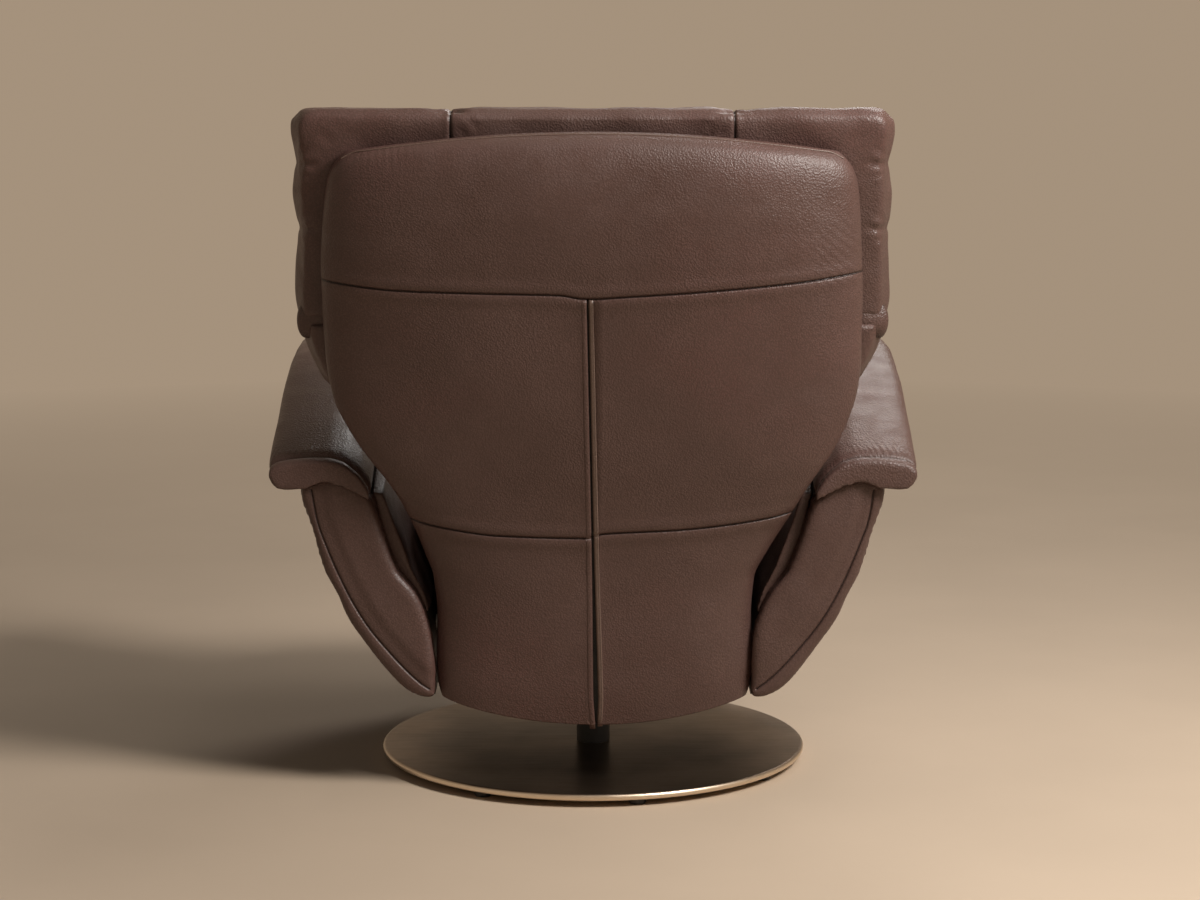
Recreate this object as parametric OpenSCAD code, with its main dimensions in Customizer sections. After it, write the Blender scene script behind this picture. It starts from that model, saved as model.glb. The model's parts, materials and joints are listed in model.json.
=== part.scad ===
// Swivel recliner on a round floor disc. The chair faces -Y, its back is at +Y, and the
// swivel axis is the Z axis. Lengths are in millimetres and angles in degrees.

/* [Base] */
// Diameter of the floor disc
disc_d = 650; // [600:5:700]
// Thickness of the floor disc
disc_t = 12; // [10:1:16]
// Radius of the disc's rounded rim
disc_rim_r = 5; // [3:0.5:6]
// Height of the glides below the disc
glide_h = 8; // [6:1:12]
// Diameter of a glide
glide_d = 26; // [20:1:32]
// Number of glides around the disc
glide_n = 8; // [5:1:10]
// Diameter of the circle that the glides stand on
glide_ring_d = 600; // [540:5:610]
// Turn of the first glide from the rear centre line
glide_turn = 12.5; // [0:0.5:30]
// Outer diameter of the column
column_d = 51; // [48:1:56]
// Wall of the column
column_wall = 3; // [2.5:0.5:4]
// Height of the column above the disc
column_h = 146; // [140:1:150]
// Thickness of the solid foot inside the column
column_foot_t = 14; // [12:1:18]
// Number of screws in the column's foot, and in the carrier
ring_screw_n = 4; // [3:1:4]
// Diameter of these screws
ring_screw_d = 8; // [6:1:8]

/* [Seat frame] */
// Top of the seat cushion above the floor
seat_h = 452; // [440:1:470]
// Seat front to the swivel axis
seat_front = 415; // [395:1:425]
// Distance over the outer faces of the side plates
chassis_w = 452; // [448:1:454]
// Thickness of a side plate
plate_t = 4; // [3:0.5:5]
// Underside of the side plates above the floor
plate_low = 204; // [200:1:210]
// Top of the side plates above the floor
plate_top = 310; // [308:1:311]
// Width of the seat frame's square tube
rail_w = 22; // [20:1:22]
// Thickness of the webbing
belt_t = 2; // [1.5:0.5:2.5]
// Width of a webbing belt
belt_w = 46; // [40:1:50]
// Number of belts under the seat cushion
seat_belt_n = 6; // [4:1:6]
// Thickness of the carrier plate on the swivel shaft
carrier_t = 8; // [6:1:8]

/* [Recline] */
// Recline hinge behind the swivel axis
recline_y = 175; // [172:1:178]
// Recline hinge above the floor
recline_z = 335; // [333:1:336]
// Greatest recline angle
recline_max = 35; // [25:1:35]
// Diameter of the hinge pins
pivot_d = 12; // [10:1:12]
// Distance from the recline hinge to the gas spring's pin
crank_r = 60; // [55:1:62]
// Diameter of the gas spring's cylinder
spring_d = 22; // [20:1:22]
// Diameter of the gas spring's rod
spring_rod_d = 8; // [7:0.5:9]

/* [Back] */
// Top of the head cushion above the floor
chair_h = 1008; // [980:2:1030]
// Width of the head cushion
back_w = 864; // [830:2:880]
// Lean of the back at rest
back_lean = 10.2; // [9:0.1:11]
// Rear face of the back cushion's foot behind the swivel axis
back_foot_y = 206; // [204:1:208]
// Underside of the back cushion above the floor
back_foot_z = 360; // [358:1:362]
// Thickness of the back cushion
back_cushion_t = 116; // [108:1:120]
// Height of the fold between back and head cushion above the floor
fold_z = 700; // [690:1:710]
// Clear gap between the two cushions at the fold
fold_gap = 6; // [5:1:8]
// Greatest tilt of the head cushion
head_tilt_max = 30; // [20:1:30]
// Distance of the head hinge behind the cushion's front
head_pivot_in = 46; // [44:1:50]
// Spacing of the two side seams in the head cushion
head_seam_w = 398; // [360:2:420]

/* [Rear cover] */
// Width of the rear cover
cover_w = 770; // [740:2:780]
// Top of the rear cover above the floor
cover_top = 975; // [955:1:985]
// Bottom edge of the rear cover above the floor
cover_low = 108; // [104:1:125]
// Depth of the rear cover behind the back cushion
cover_depth = 106; // [100:1:112]
// Thickness of the rear cover's padded wall
cover_t = 12; // [9:1:14]
// Width of one strip beside the cover's centre slit
slit_strip_w = 7; // [5:1:12]

/* [Arms] */
// Width over the arm pads
arm_span = 944; // [930:2:960]
// Width of an arm pad
pad_w = 152; // [145:1:156]
// Thickness of an arm pad
pad_t = 34; // [30:1:38]
// Outer edge of the arm pad at its rear end, above the floor
pad_rear_z = 457; // [450:1:462]
// Rise of the arm pad from its rear end to the front
pad_rise = 125; // [100:1:130]
// Rear end of the arm pad behind the swivel axis
pad_rear_y = 254; // [250:1:256]
// Front end of the arm pad before the swivel axis
pad_front_y = 396; // [380:1:400]
// Rear face of the arm body behind the swivel axis
arm_rear_y = 238; // [230:1:240]
// Front face of the arm body before the swivel axis
arm_front_y = 358; // [350:1:360]
// Bottom of the arm body above the floor
arm_low = 143; // [138:1:150]
// Thickness of the padded panel on each end of an arm
arm_end_t = 24; // [20:1:28]
// Thickness of the plywood core of an arm
arm_core_t = 18; // [15:1:20]

/* [Leg rest] */
// Leg rest hinge before the swivel axis
leg_y = 380; // [378:1:382]
// Leg rest hinge above the floor
leg_z = 300; // [298:1:301]
// Greatest swing of the leg rest
leg_max = 80; // [60:1:80]
// Radius of the leg rest's rolled top, which is also the depth of its front face
leg_roll_r = 36; // [32:1:36]
// Bottom of the leg rest above the floor
leg_low = 118; // [116:1:124]
// Width of the leg rest
leg_w = 484; // [450:2:490]
// Width of the fold-out foot flap
flap_w = 372; // [340:2:376]
// Length of the foot flap
flap_len = 128; // [110:1:130]
// Thickness of the foot flap's pad
flap_pad_t = 34; // [28:1:35]
// Thickness of the plywood boards
board_t = 12; // [10:1:12]
// Turns of the foot flap for each turn of the leg rest
flap_ratio = 2.25; // [2:0.05:2.25]

/* [Release lever] */
// Reach of the release lever from its pivot to the grip
lever_reach = 88; // [86:1:89]
// Diameter of the grip
grip_d = 18; // [16:1:18]
// Thickness of the release cable's sheath
cable_d = 5; // [4:0.5:5]

/* [Hidden] */

$fn = 48;
round_fn = 96;

// One overrun for every cut, and the clearances
cut = 1;
soft_gap = 0.3;
run_gap = 0.05;
loose_gap = 0.4;

// Heads and collars of the pins
pin_head_share = 1.5;
pin_head_t = 2.5;
collar_share = 1.7;

leather = "#5a4038";
leather_light = "#6e4f43";
bronze = "#8f7a5c";
dark_steel = "#2b2a2a";
steel = "#8b8d90";
black_plastic = "#1a1a1b";
plywood = "#c8a877";
webbing = "#2e2c2a";

// Heights worked out from the floor up
disc_low = glide_h;
disc_top = glide_h + disc_t;
column_top = disc_top + column_h;
bearing_t = 12;
carrier_low = column_top + bearing_t;
carrier_w = 180;
shaft_d = 36;
shaft_flange_t = 8;
bush_t = (column_d - 2 * column_wall - shaft_d) / 2;
bush_h = 30;
beam_w = 30;
beam_wall = 2.5;
beam_low = carrier_low + shaft_flange_t + carrier_t;
beam_h = 30;
beam_places = [-62, 62];
inner_w = chassis_w - 2 * plate_t;

seat_bottom = plate_top + belt_t + soft_gap;

// Rear plane of the back cushion
function back_y(z) = back_foot_y + (z - back_foot_z) * tan(back_lean);

// Rise of an arm's top at a place along the chair, with a slight drop at the front
arm_rise_run = 500;
arm_nose_drop_share = 0.12;
function arm_rise(y) = let(
    run = (pad_rear_y - y) / arm_rise_run,
    over = max(0, run - 1) * arm_rise_run / (pad_front_y + pad_rear_y - arm_rise_run)
  ) pad_rise * (sin(90 * min(1, max(0, run))) - arm_nose_drop_share * over * over);

// A value read from a table of [place, value] rows, with straight lines between them
function table(rows, place, k = 0) =
  k + 2 >= len(rows) || place <= rows[k + 1][0]
  ? rows[k][1] + (rows[k + 1][1] - rows[k][1]) * (place - rows[k][0]) / (rows[k + 1][0] - rows[k][0])
  : table(rows, place, k + 1);

// Height of a rounded edge at a share of the half width
function bow(share, power) = pow(max(0, 1 - pow(abs(share), power)), 1 / power);

// How far a round of radius r has fallen back at a depth below its crest
function fallback(depth, r) = depth >= r ? 0 : r - sqrt(r * r - (r - depth) * (r - depth));

// A closed solid through rings of points, each ring with as many points as the others.
// turned is true where the rings run the other way round.
module loft(rings, turned = false) {
  count = len(rings[0]);
  last = len(rings) - 1;
  middle = [for (ring = [rings[0], rings[last]]) [for (axis = [0:2]) sum_of(ring, axis) / count]];
  points = concat([for (ring = rings) each ring], middle);
  first_cap = count * (last + 1);
  faces = concat(
    [for (j = [0:last - 1], i = [0:count - 1]) let(k = (i + 1) % count)
      each [[j * count + i, (j + 1) * count + k, j * count + k],
            [j * count + i, (j + 1) * count + i, (j + 1) * count + k]]],
    [for (i = [0:count - 1]) [first_cap, i, (i + 1) % count]],
    [for (i = [0:count - 1]) [first_cap + 1, last * count + (i + 1) % count, last * count + i]]
  );
  polyhedron(points, [for (f = faces) turned ? [f[2], f[1], f[0]] : f]);
}

function sum_of(points, axis, k = 0) = k == len(points) ? 0 : points[k][axis] + sum_of(points, axis, k + 1);

// A closed solid between an outer and an inner grid of points
module shell_between(outer, inner) {
  rows = len(outer);
  cols = len(outer[0]);
  half = rows * cols;
  points = concat([for (row = outer) each row], [for (row = inner) each row]);
  edge = concat(
    [for (i = [0:cols - 2]) [i, i + 1]],
    [for (j = [0:rows - 2]) [j * cols + cols - 1, (j + 1) * cols + cols - 1]],
    [for (i = [cols - 1:-1:1]) [(rows - 1) * cols + i, (rows - 1) * cols + i - 1]],
    [for (j = [rows - 1:-1:1]) [j * cols, (j - 1) * cols]]
  );
  faces = concat(
    [for (j = [0:rows - 2], i = [0:cols - 2]) let(a = j * cols + i, d = a + cols)
      each [[a, a + 1, d + 1], [a, d + 1, d]]],
    [for (j = [0:rows - 2], i = [0:cols - 2]) let(a = half + j * cols + i, d = a + cols)
      each [[a, d + 1, a + 1], [a, d, d + 1]]],
    [for (e = edge) each [[e[0], half + e[0], half + e[1]], [e[0], half + e[1], e[1]]]]
  );
  polyhedron(points, faces);
}

// Both sides of the chair
module both_sides() {
  children();
  mirror([1, 0, 0]) children();
}

// A shaft along X from one place to another
module along_x(from, to, d, y, z) {
  translate([from, y, z]) rotate([0, 90, 0]) cylinder(d = d, h = to - from);
}

// A ring along X
module ring_x(from, to, d, hole, y, z) {
  difference() {
    along_x(from, to, d, y, z);
    along_x(from - cut, to + cut, hole, y, z);
  }
}

// A flat plate that stands along Y and Z, from an outline of [y, z] points
module upright_plate(from, to, outline) {
  translate([from, 0, 0]) rotate([90, 0, 90]) linear_extrude(to - from) polygon(outline);
}

// Base

module disc_profile() {
  rim = disc_d / 2 - disc_rim_r;
  high = disc_top - disc_rim_r;
  polygon(concat(
    [[0, disc_low], [rim - disc_rim_r, disc_low]],
    [for (a = [-60:15:90]) [rim + disc_rim_r * cos(a), high + disc_rim_r * sin(a)]],
    [[0, disc_top]]
  ));
}

glide_stud_d_share = 0.35;
glide_stud_h = disc_t / 2;
foot_ring_share = 0.58;
foot_ring_d = foot_ring_share * (column_d - 2 * column_wall);

module at_glides() {
  for (k = [0:glide_n - 1])
    rotate([0, 0, glide_turn + 90 + k * 360 / glide_n]) translate([glide_ring_d / 2, 0, 0]) children();
}

module at_screws(ring_d) {
  for (k = [0:ring_screw_n - 1])
    rotate([0, 0, (k + 0.5) * 360 / ring_screw_n]) translate([ring_d / 2, 0, 0]) children();
}

module base_disc() {
  color(bronze) difference() {
    rotate_extrude($fn = round_fn) disc_profile();
    at_glides() translate([0, 0, disc_low - cut])
      cylinder(d = glide_d * glide_stud_d_share + 2 * run_gap, h = glide_stud_h + cut);
    at_screws(foot_ring_d) translate([0, 0, disc_low - cut])
      cylinder(d = ring_screw_d + 2 * run_gap, h = disc_t + 2 * cut);
  }
}

glide_chamfer_share = 0.08;

module floor_glides() {
  bevel = glide_d * glide_chamfer_share;
  color(black_plastic) at_glides() union() {
    cylinder(d1 = glide_d - 2 * bevel, d2 = glide_d, h = bevel);
    translate([0, 0, bevel]) cylinder(d = glide_d, h = glide_h - bevel);
    translate([0, 0, glide_h]) cylinder(d = glide_d * glide_stud_d_share, h = glide_stud_h - run_gap);
  }
}

// How deep a screw and its hole go into the piece they hold
screw_hold_share = 0.7;
screw_hole_share = 0.78;

module column() {
  color(dark_steel) difference() {
    translate([0, 0, disc_top]) cylinder(d = column_d, h = column_h, $fn = round_fn);
    translate([0, 0, disc_top + column_foot_t])
      cylinder(d = column_d - 2 * column_wall, h = column_h, $fn = round_fn);
    at_screws(foot_ring_d) translate([0, 0, disc_top - cut])
      cylinder(d = ring_screw_d + 2 * run_gap, h = column_foot_t * screw_hole_share + cut);
  }
}

screw_head_h_share = 0.6;
screw_head_d_share = 1.7;
screw_socket_share = 0.7;

// A cap screw that points up, with its head below the face it clamps
module screw_up(face, length, d) {
  head = d * screw_head_h_share;
  translate([0, 0, face - head]) difference() {
    cylinder(d = d * screw_head_d_share, h = head);
    translate([0, 0, -cut]) cylinder(d = d * screw_socket_share, h = head / 2 + cut, $fn = 6);
  }
  translate([0, 0, face]) cylinder(d = d, h = length);
}

module column_screws() {
  color(steel) at_screws(foot_ring_d)
    screw_up(disc_low, disc_t + column_foot_t * screw_hold_share, ring_screw_d);
}

module bush(low) {
  translate([0, 0, low]) difference() {
    cylinder(d = column_d - 2 * column_wall - 2 * run_gap, h = bush_h);
    translate([0, 0, -cut]) cylinder(d = shaft_d + 2 * run_gap, h = bush_h + 2 * cut);
  }
}

shaft_foot = disc_top + column_foot_t + column_wall;

module swivel_bushes() {
  color(black_plastic) {
    bush(shaft_foot);
    bush(column_top - bush_h);
  }
}

module thrust_bearing() {
  color(steel) translate([0, 0, column_top]) difference() {
    cylinder(d = column_d + 2 * column_wall, h = bearing_t - run_gap);
    translate([0, 0, -cut]) cylinder(d = shaft_d + 2 * loose_gap, h = bearing_t + 2 * cut);
  }
}

// Swivel shaft and carrier

shaft_ring_d = 120;

module swivel_shaft() {
  color(steel) difference() {
    union() {
      translate([0, 0, shaft_foot]) cylinder(d = shaft_d, h = carrier_low - shaft_foot);
      translate([0, 0, carrier_low]) cylinder(d = shaft_ring_d + 3 * ring_screw_d, h = shaft_flange_t);
      translate([-carrier_w / 2, -carrier_w / 2, carrier_low + shaft_flange_t])
        cube([carrier_w, carrier_w, carrier_t]);
    }
    at_screws(shaft_ring_d) translate([0, 0, carrier_low - cut])
      cylinder(d = ring_screw_d + 2 * run_gap, h = shaft_flange_t + carrier_t + 2 * cut);
  }
}

module shaft_screws() {
  color(dark_steel) at_screws(shaft_ring_d)
    screw_up(carrier_low, shaft_flange_t + carrier_t * screw_hold_share, ring_screw_d);
}

module carrier_beams() {
  color(dark_steel) for (y = beam_places)
    translate([-inner_w / 2, y - beam_w / 2, beam_low]) difference() {
      cube([inner_w, beam_w, beam_h]);
      translate([-cut, beam_wall, beam_wall])
        cube([inner_w + 2 * cut, beam_w - 2 * beam_wall, beam_h - 2 * beam_wall]);
    }
}

// Seat frame

front_boss_r = 13;
rear_boss_r = 18;
window_y = [-222, -95, 0];
window_len = 36;
window_h = 44;
pin_hole_d = pivot_d + 2 * run_gap;
arm_bolt_d = 8;
arm_bolt_z = 226;
arm_bolt_places = [-270, 96];

// The plate's outline meets its bosses a little inside their edge
boss_join_share = 0.9;

module side_plate_outline() {
  front_r = front_boss_r * boss_join_share;
  rear_r = rear_boss_r * boss_join_share;
  difference() {
    union() {
      polygon([
        [-leg_y, leg_z - front_r],
        [-leg_y + 2 * front_boss_r, leg_z - 2 * front_boss_r],
        [-leg_y + 6 * front_boss_r, plate_low],
        [recline_y - 4 * rear_boss_r, plate_low],
        [recline_y + rear_r * cos(20), recline_z - rear_r * sin(20)],
        [recline_y - rear_r * cos(50), recline_z + rear_r * sin(50)],
        [recline_y - 2.6 * rear_boss_r, plate_top],
        [-leg_y + 3 * front_boss_r, plate_top],
        [-leg_y, leg_z + front_r]
      ]);
      translate([-leg_y, leg_z]) circle(r = front_boss_r);
      translate([recline_y, recline_z]) circle(r = rear_boss_r);
    }
    translate([-leg_y, leg_z]) circle(d = pin_hole_d);
    translate([recline_y, recline_z]) circle(d = pin_hole_d);
    for (y = arm_bolt_places) translate([y, arm_bolt_z]) circle(d = arm_bolt_d + 2 * run_gap);
    for (y = window_y) {
      translate([y, (plate_low + plate_top) / 2]) square([window_len, window_h], center = true);
      for (s = [-1, 1]) translate([y + s * window_len / 2, (plate_low + plate_top) / 2])
        circle(d = window_h);
    }
  }
}

module side_plate() {
  difference() {
    translate([inner_w / 2, 0, 0]) rotate([90, 0, 90]) linear_extrude(plate_t) side_plate_outline();
    along_x(inner_w / 2 - cut, chassis_w / 2 + cut, lever_pin_d + 2 * run_gap, lever_y, lever_z);
  }
}

module side_plate_left() {
  color(dark_steel) side_plate();
}

module side_plate_right() {
  color(dark_steel) mirror([1, 0, 0]) side_plate();
}

frame_front = -338;
frame_rear = 86;

module seat_frame() {
  low = plate_top - rail_w;
  color(dark_steel) difference() {
    translate([-inner_w / 2, frame_front, low]) cube([inner_w, frame_rear - frame_front, rail_w]);
    translate([-inner_w / 2 + rail_w, frame_front + rail_w, low - cut])
      cube([inner_w - 2 * rail_w, frame_rear - frame_front - 2 * rail_w, rail_w + 2 * cut]);
  }
}

module seat_belts() {
  run = frame_rear - frame_front - belt_w;
  color(webbing) for (k = [0:seat_belt_n - 1])
    translate([-inner_w / 2, frame_front + k * run / (seat_belt_n - 1), plate_top])
      cube([inner_w, belt_w, belt_t]);
}

// Seat cushion: rings stand across the chair, from its nose to its rear end.
// Shares: [place from nose to rear, half width, bottom, top]. The bottom runs from the frame up
// to the nose's underside, and the top from the cushion's bottom up to its crown.
seat_half_w = 281;
seat_foot_half_w = 248;
seat_rear = 90;
nose_gap = 9;
nose_under = leg_z + leg_roll_r + nose_gap;
seat_rows_shares = [
  [0, 0.94, 0.7, 0.52], [0.012, 0.965, 1, 0.74], [0.04, 0.985, 1, 0.88], [0.09, 0.995, 1, 0.965],
  [0.13, 1, 0.9, 0.985], [0.165, 1, 0.3, 0.995], [0.2, 1, 0, 1], [0.32, 0.996, 0, 0.985],
  [0.5, 0.99, 0, 0.955], [0.68, 0.99, 0, 0.935], [0.84, 0.995, 0, 0.93], [0.93, 0.995, 0, 0.915],
  [0.98, 0.985, 0, 0.85], [1, 0.965, 0, 0.74]
];
seat_top_shares = [
  -1, -0.985, -0.95, -0.88, -0.76, -0.6, -0.4, -0.2, 0, 0.2, 0.4, 0.6, 0.76, 0.88, 0.95, 0.985
];
seat_low_shares = [1, 0.97, 0.88, 0.7, 0.35, -0.35, -0.7, -0.88, -0.97];
seat_crown = 12;
seat_edge_share = 0.42;

// The cushion widens from its foot to its crown, as the arms beside it do
function seat_point(across, y, z) = [across * (seat_foot_half_w
  + (seat_half_w - seat_foot_half_w) * (z - seat_bottom) / (seat_h - seat_bottom)), y, z];

function seat_ring(row) = let(
    y = -seat_front + row[0] * (seat_front + seat_rear),
    w = row[1],
    low = seat_bottom + row[2] * (nose_under - seat_bottom),
    high = seat_bottom + row[3] * (seat_h - seat_bottom),
    edge = low + seat_edge_share * (high - low)
  ) concat(
    [for (s = seat_low_shares) seat_point(w * s, y, edge - (edge - low) * bow(s, 6))],
    [for (s = seat_top_shares)
      seat_point(w * s, y, edge + (high - seat_crown - edge) * bow(s, 4) + seat_crown * (1 - s * s) * row[3])]
  );

module seat_cushion() {
  color(leather) loft([for (row = seat_rows_shares) seat_ring(row)]);
}

// Gas spring and its crank

crank_swing = recline_max / 2;
crank_pin_y = recline_y + crank_r * sin(crank_swing);
crank_pin_z = recline_z - crank_r * cos(crank_swing);
crank_pin_d = 8;
spring_front = -132;
spring_len = 186;
spring_bore_len = 130;
spring_rod_in = 80;
spring_bracket_t = 5;
cross_tube_d = 20;
cross_tube_wall = 2;
cross_tube_y = -168;
ear_gap = 1;
eye_w = 10;
eye_d = 24;
eye_play = 3.2;
eye_gap = 1.2;
eye_weld = 1.5;
crank_plate_t = 4;
crank_plate_in = eye_w / 2 + eye_gap;

module cross_tube() {
  half = inner_w / 2;
  bore = cross_tube_d - 2 * cross_tube_wall;
  ear_in = spring_d / 2 + ear_gap;
  color(dark_steel) union() {
    difference() {
      along_x(-half, half, cross_tube_d, cross_tube_y, crank_pin_z);
      along_x(-half - cut, half + cut, bore, cross_tube_y, crank_pin_z);
    }
    both_sides() difference() {
      translate([ear_in, cross_tube_y + cross_tube_d / 2 - cut, crank_pin_z - spring_d / 2])
        cube([spring_bracket_t, spring_front - cross_tube_y - cross_tube_d / 2 + spring_d + cut, spring_d]);
      along_x(0, chassis_w, crank_pin_d + 2 * run_gap, spring_front + spring_d / 2, crank_pin_z);
    }
  }
}

module gas_spring_cylinder() {
  color(black_plastic) difference() {
    translate([0, spring_front, crank_pin_z]) rotate([-90, 0, 0]) cylinder(d = spring_d, h = spring_len);
    translate([0, spring_front + spring_len + cut, crank_pin_z]) rotate([90, 0, 0])
      cylinder(d = spring_rod_d + 2 * run_gap, h = spring_bore_len + cut);
    along_x(-spring_d, spring_d, crank_pin_d + 2 * run_gap, spring_front + spring_d / 2, crank_pin_z);
  }
}

module gas_spring_rod() {
  rod_from = spring_front + spring_len - spring_rod_in;
  color(steel) union() {
    translate([0, rod_from, crank_pin_z]) rotate([-90, 0, 0])
      cylinder(d = spring_rod_d, h = crank_pin_y - eye_d / 2 + eye_weld - rod_from);
    difference() {
      along_x(-eye_w / 2, eye_w / 2, eye_d, crank_pin_y, crank_pin_z);
      along_x(-eye_w, eye_w, crank_pin_d + 2 * eye_play, crank_pin_y, crank_pin_z);
    }
  }
}

// The front pin sits in the cross tube's ears. The rear pin is part of the crank.
module gas_spring_pins() {
  ear = spring_d / 2 + ear_gap + spring_bracket_t;
  pin_y = spring_front + spring_d / 2;
  color(steel) {
    along_x(-ear, ear, crank_pin_d, pin_y, crank_pin_z);
    both_sides() along_x(ear, ear + pin_head_t, crank_pin_d * pin_head_share, pin_y, crank_pin_z);
  }
}

crank_boss_r = 10;
torque_tube_d = 24;
hinge_plate_t = 4;
hinge_side_gap = 4.5;
hinge_plate_out = inner_w / 2 - hinge_side_gap;

module recline_crank() {
  side = hinge_plate_out - hinge_plate_t;
  pin_reach = crank_plate_in + crank_plate_t;
  color(dark_steel) union() {
    difference() {
      along_x(-side, side, torque_tube_d, recline_y, recline_z);
      both_sides() along_x(side - 2 * torque_tube_d, side + cut, pin_hole_d, recline_y, recline_z);
    }
    both_sides() union() {
      along_x(crank_plate_in, pin_reach, 2 * crank_boss_r, crank_pin_y, crank_pin_z);
      upright_plate(crank_plate_in, pin_reach, [
        [recline_y + torque_tube_d / 2 - cut, recline_z],
        [recline_y - torque_tube_d / 2 + cut, recline_z],
        [crank_pin_y - crank_boss_r * cos(crank_swing), crank_pin_z + crank_boss_r * sin(crank_swing)],
        [crank_pin_y + crank_boss_r * cos(crank_swing), crank_pin_z - crank_boss_r * sin(crank_swing)]
      ]);
    }
    along_x(-pin_reach, pin_reach, crank_pin_d, crank_pin_y, crank_pin_z);
  }
}

// The pins stand in the side plates and carry the back's hinge plates
module recline_pins() {
  inner = hinge_plate_out - hinge_plate_t - torque_tube_d;
  color(steel) both_sides() {
    along_x(inner, chassis_w / 2, pivot_d, recline_y, recline_z);
    along_x(chassis_w / 2, chassis_w / 2 + pin_head_t, pivot_d * pin_head_share, recline_y, recline_z);
    along_x(hinge_plate_out + loose_gap, inner_w / 2, pivot_d * collar_share, recline_y, recline_z);
  }
}

// Release lever, on the sitter's right, and its cable

lever_y = -280;
lever_z = 250;
lever_pin_d = 8;
lever_t = 4;
lever_side_gap = 3.5;
lever_out = inner_w / 2 - lever_side_gap;
lever_w = 16;
lever_tip_w = 8;
lever_arm = 22;
grip_rod_d = 8;
grip_len = 31;
grip_side_gap = 3;
grip_out = max(leg_w, chassis_w) / 2 + grip_side_gap + grip_len;
lever_drop = 15;
grip_cap = 2;

module release_lever() {
  tip_y = lever_y - lever_reach;
  tip_z = lever_z - lever_drop;
  color(dark_steel) difference() {
    union() {
      along_x(-lever_out, -lever_out + lever_t, lever_w, lever_y, lever_z);
      along_x(-lever_out, -lever_out + lever_t, lever_tip_w, tip_y, tip_z);
      upright_plate(-lever_out, -lever_out + lever_t, [
        [lever_y, lever_z + lever_w / 2], [tip_y, tip_z + lever_tip_w / 2],
        [tip_y, tip_z - lever_tip_w / 2], [lever_y - lever_w / 2, lever_z - lever_w / 2],
        [lever_y - lever_w / 4, lever_z - lever_arm - lever_w / 4],
        [lever_y + lever_w / 4, lever_z - lever_arm - lever_w / 4],
        [lever_y + lever_w / 2, lever_z]
      ]);
      along_x(-grip_out, -lever_out + cut, grip_rod_d, tip_y, tip_z);
    }
    along_x(-lever_out - cut, -lever_out + lever_t + cut, lever_pin_d + 2 * run_gap, lever_y, lever_z);
  }
}

module lever_grip() {
  tip_y = lever_y - lever_reach;
  tip_z = lever_z - lever_drop;
  color(black_plastic) difference() {
    union() {
      along_x(-grip_out - grip_cap, -grip_out + grip_len, grip_d, tip_y, tip_z);
      translate([-grip_out - grip_cap, tip_y, tip_z]) scale([0.5, 1, 1]) sphere(d = grip_d);
    }
    along_x(-grip_out - run_gap, chassis_w, grip_rod_d + 2 * run_gap, tip_y, tip_z);
  }
}

module lever_pin() {
  inner = -lever_out + lever_t + run_gap;
  color(steel) {
    along_x(-chassis_w / 2, inner, lever_pin_d, lever_y, lever_z);
    along_x(-chassis_w / 2 - pin_head_t, -chassis_w / 2, lever_pin_d * pin_head_share, lever_y, lever_z);
    along_x(inner, inner + pin_head_t, lever_pin_d * pin_head_share, lever_y, lever_z);
  }
}

// The cable's route, from the lever's lower arm to the head of the gas spring
cable_side_gap = 5.5;
cable_x = -inner_w / 2 + cable_side_gap;
cable_route = [
  [cable_x, -267, 228], [cable_x, -255, 228], [-208, -243, 229], [-190, -232, 233],
  [-165, -222, 240], [-135, -212, 248], [-105, -203, 255], [-75, -196, 260],
  [-52, -186, 256], [-38, -168, 249], [-30, -150, 250], [-25, -138, 256],
  [-22.5, -128, 262]
];
cable_fn = 8;

function unit(v) = v / norm(v);

function tube_ring(route, k, r) = let(
    ahead = unit(route[min(k + 1, len(route) - 1)] - route[max(k - 1, 0)]),
    side = unit(cross(ahead, [0, 0, 1])),
    up = cross(side, ahead)
  ) [for (a = [0:360 / cable_fn:359]) route[k] + r * (cos(a) * side + sin(a) * up)];

module release_cable() {
  color(black_plastic)
    loft([for (k = [0:len(cable_route) - 1]) tube_ring(cable_route, k, cable_d / 2)], true);
}

// Arms. The rings stand across the chair, from front to rear.
// Shares of the arm's rear height and of its reach: [height, outer side, inner side, lining].
// The inner side and the lining count from the side plate, and the outer side from the core.
arm_half = arm_span / 2;
arm_reach = arm_half - chassis_w / 2;
pad_sink = 10;
arm_rear_h = pad_rear_z - pad_sink - arm_low;
arm_side_shares = [
  [0, 0.003, 0.025, 0.025], [0.04, 0.102, 0.025, 0.025], [0.15, 0.239, 0.035, 0.035],
  [0.29, 0.375, 0.048, 0.048], [0.4, 0.457, 0.079, 0.060], [0.5, 0.487, 0.135, 0.089],
  [0.615, 0.506, 0.252, 0.171], [0.76, 0.541, 0.325, 0.242], [0.93, 0.618, 0.390, 0.302]
];
arm_top_row = arm_side_shares[len(arm_side_shares) - 1];
arm_top_outer_share = 0.66;
arm_top_shares = [[0.625, 0.004], [0.432, 0.040], [0.196, 0.040], [0.017, 0.000]];
lining_rise_share = 0.9;
arm_steps = 8;

// Places across the arm
function arm_in(share) = chassis_w / 2 + arm_reach * share;
function arm_out(row, share) = let(core = arm_in(row[2]) + arm_core_t) core + (arm_half - core) * share;

arm_still_share = 0.5;
function arm_lift(y, share) = arm_low + share * arm_rear_h
  + arm_rise(y) * max(0, share - arm_still_share) / (1 - arm_still_share);

// Places along an arm between its two end panels
arm_inner_front = -arm_front_y + arm_end_t + soft_gap;
arm_inner_rear = arm_rear_y - arm_end_t - soft_gap;
function arm_places() =
  [for (k = [0:arm_steps]) arm_inner_front + k * (arm_inner_rear - arm_inner_front) / arm_steps];

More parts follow.
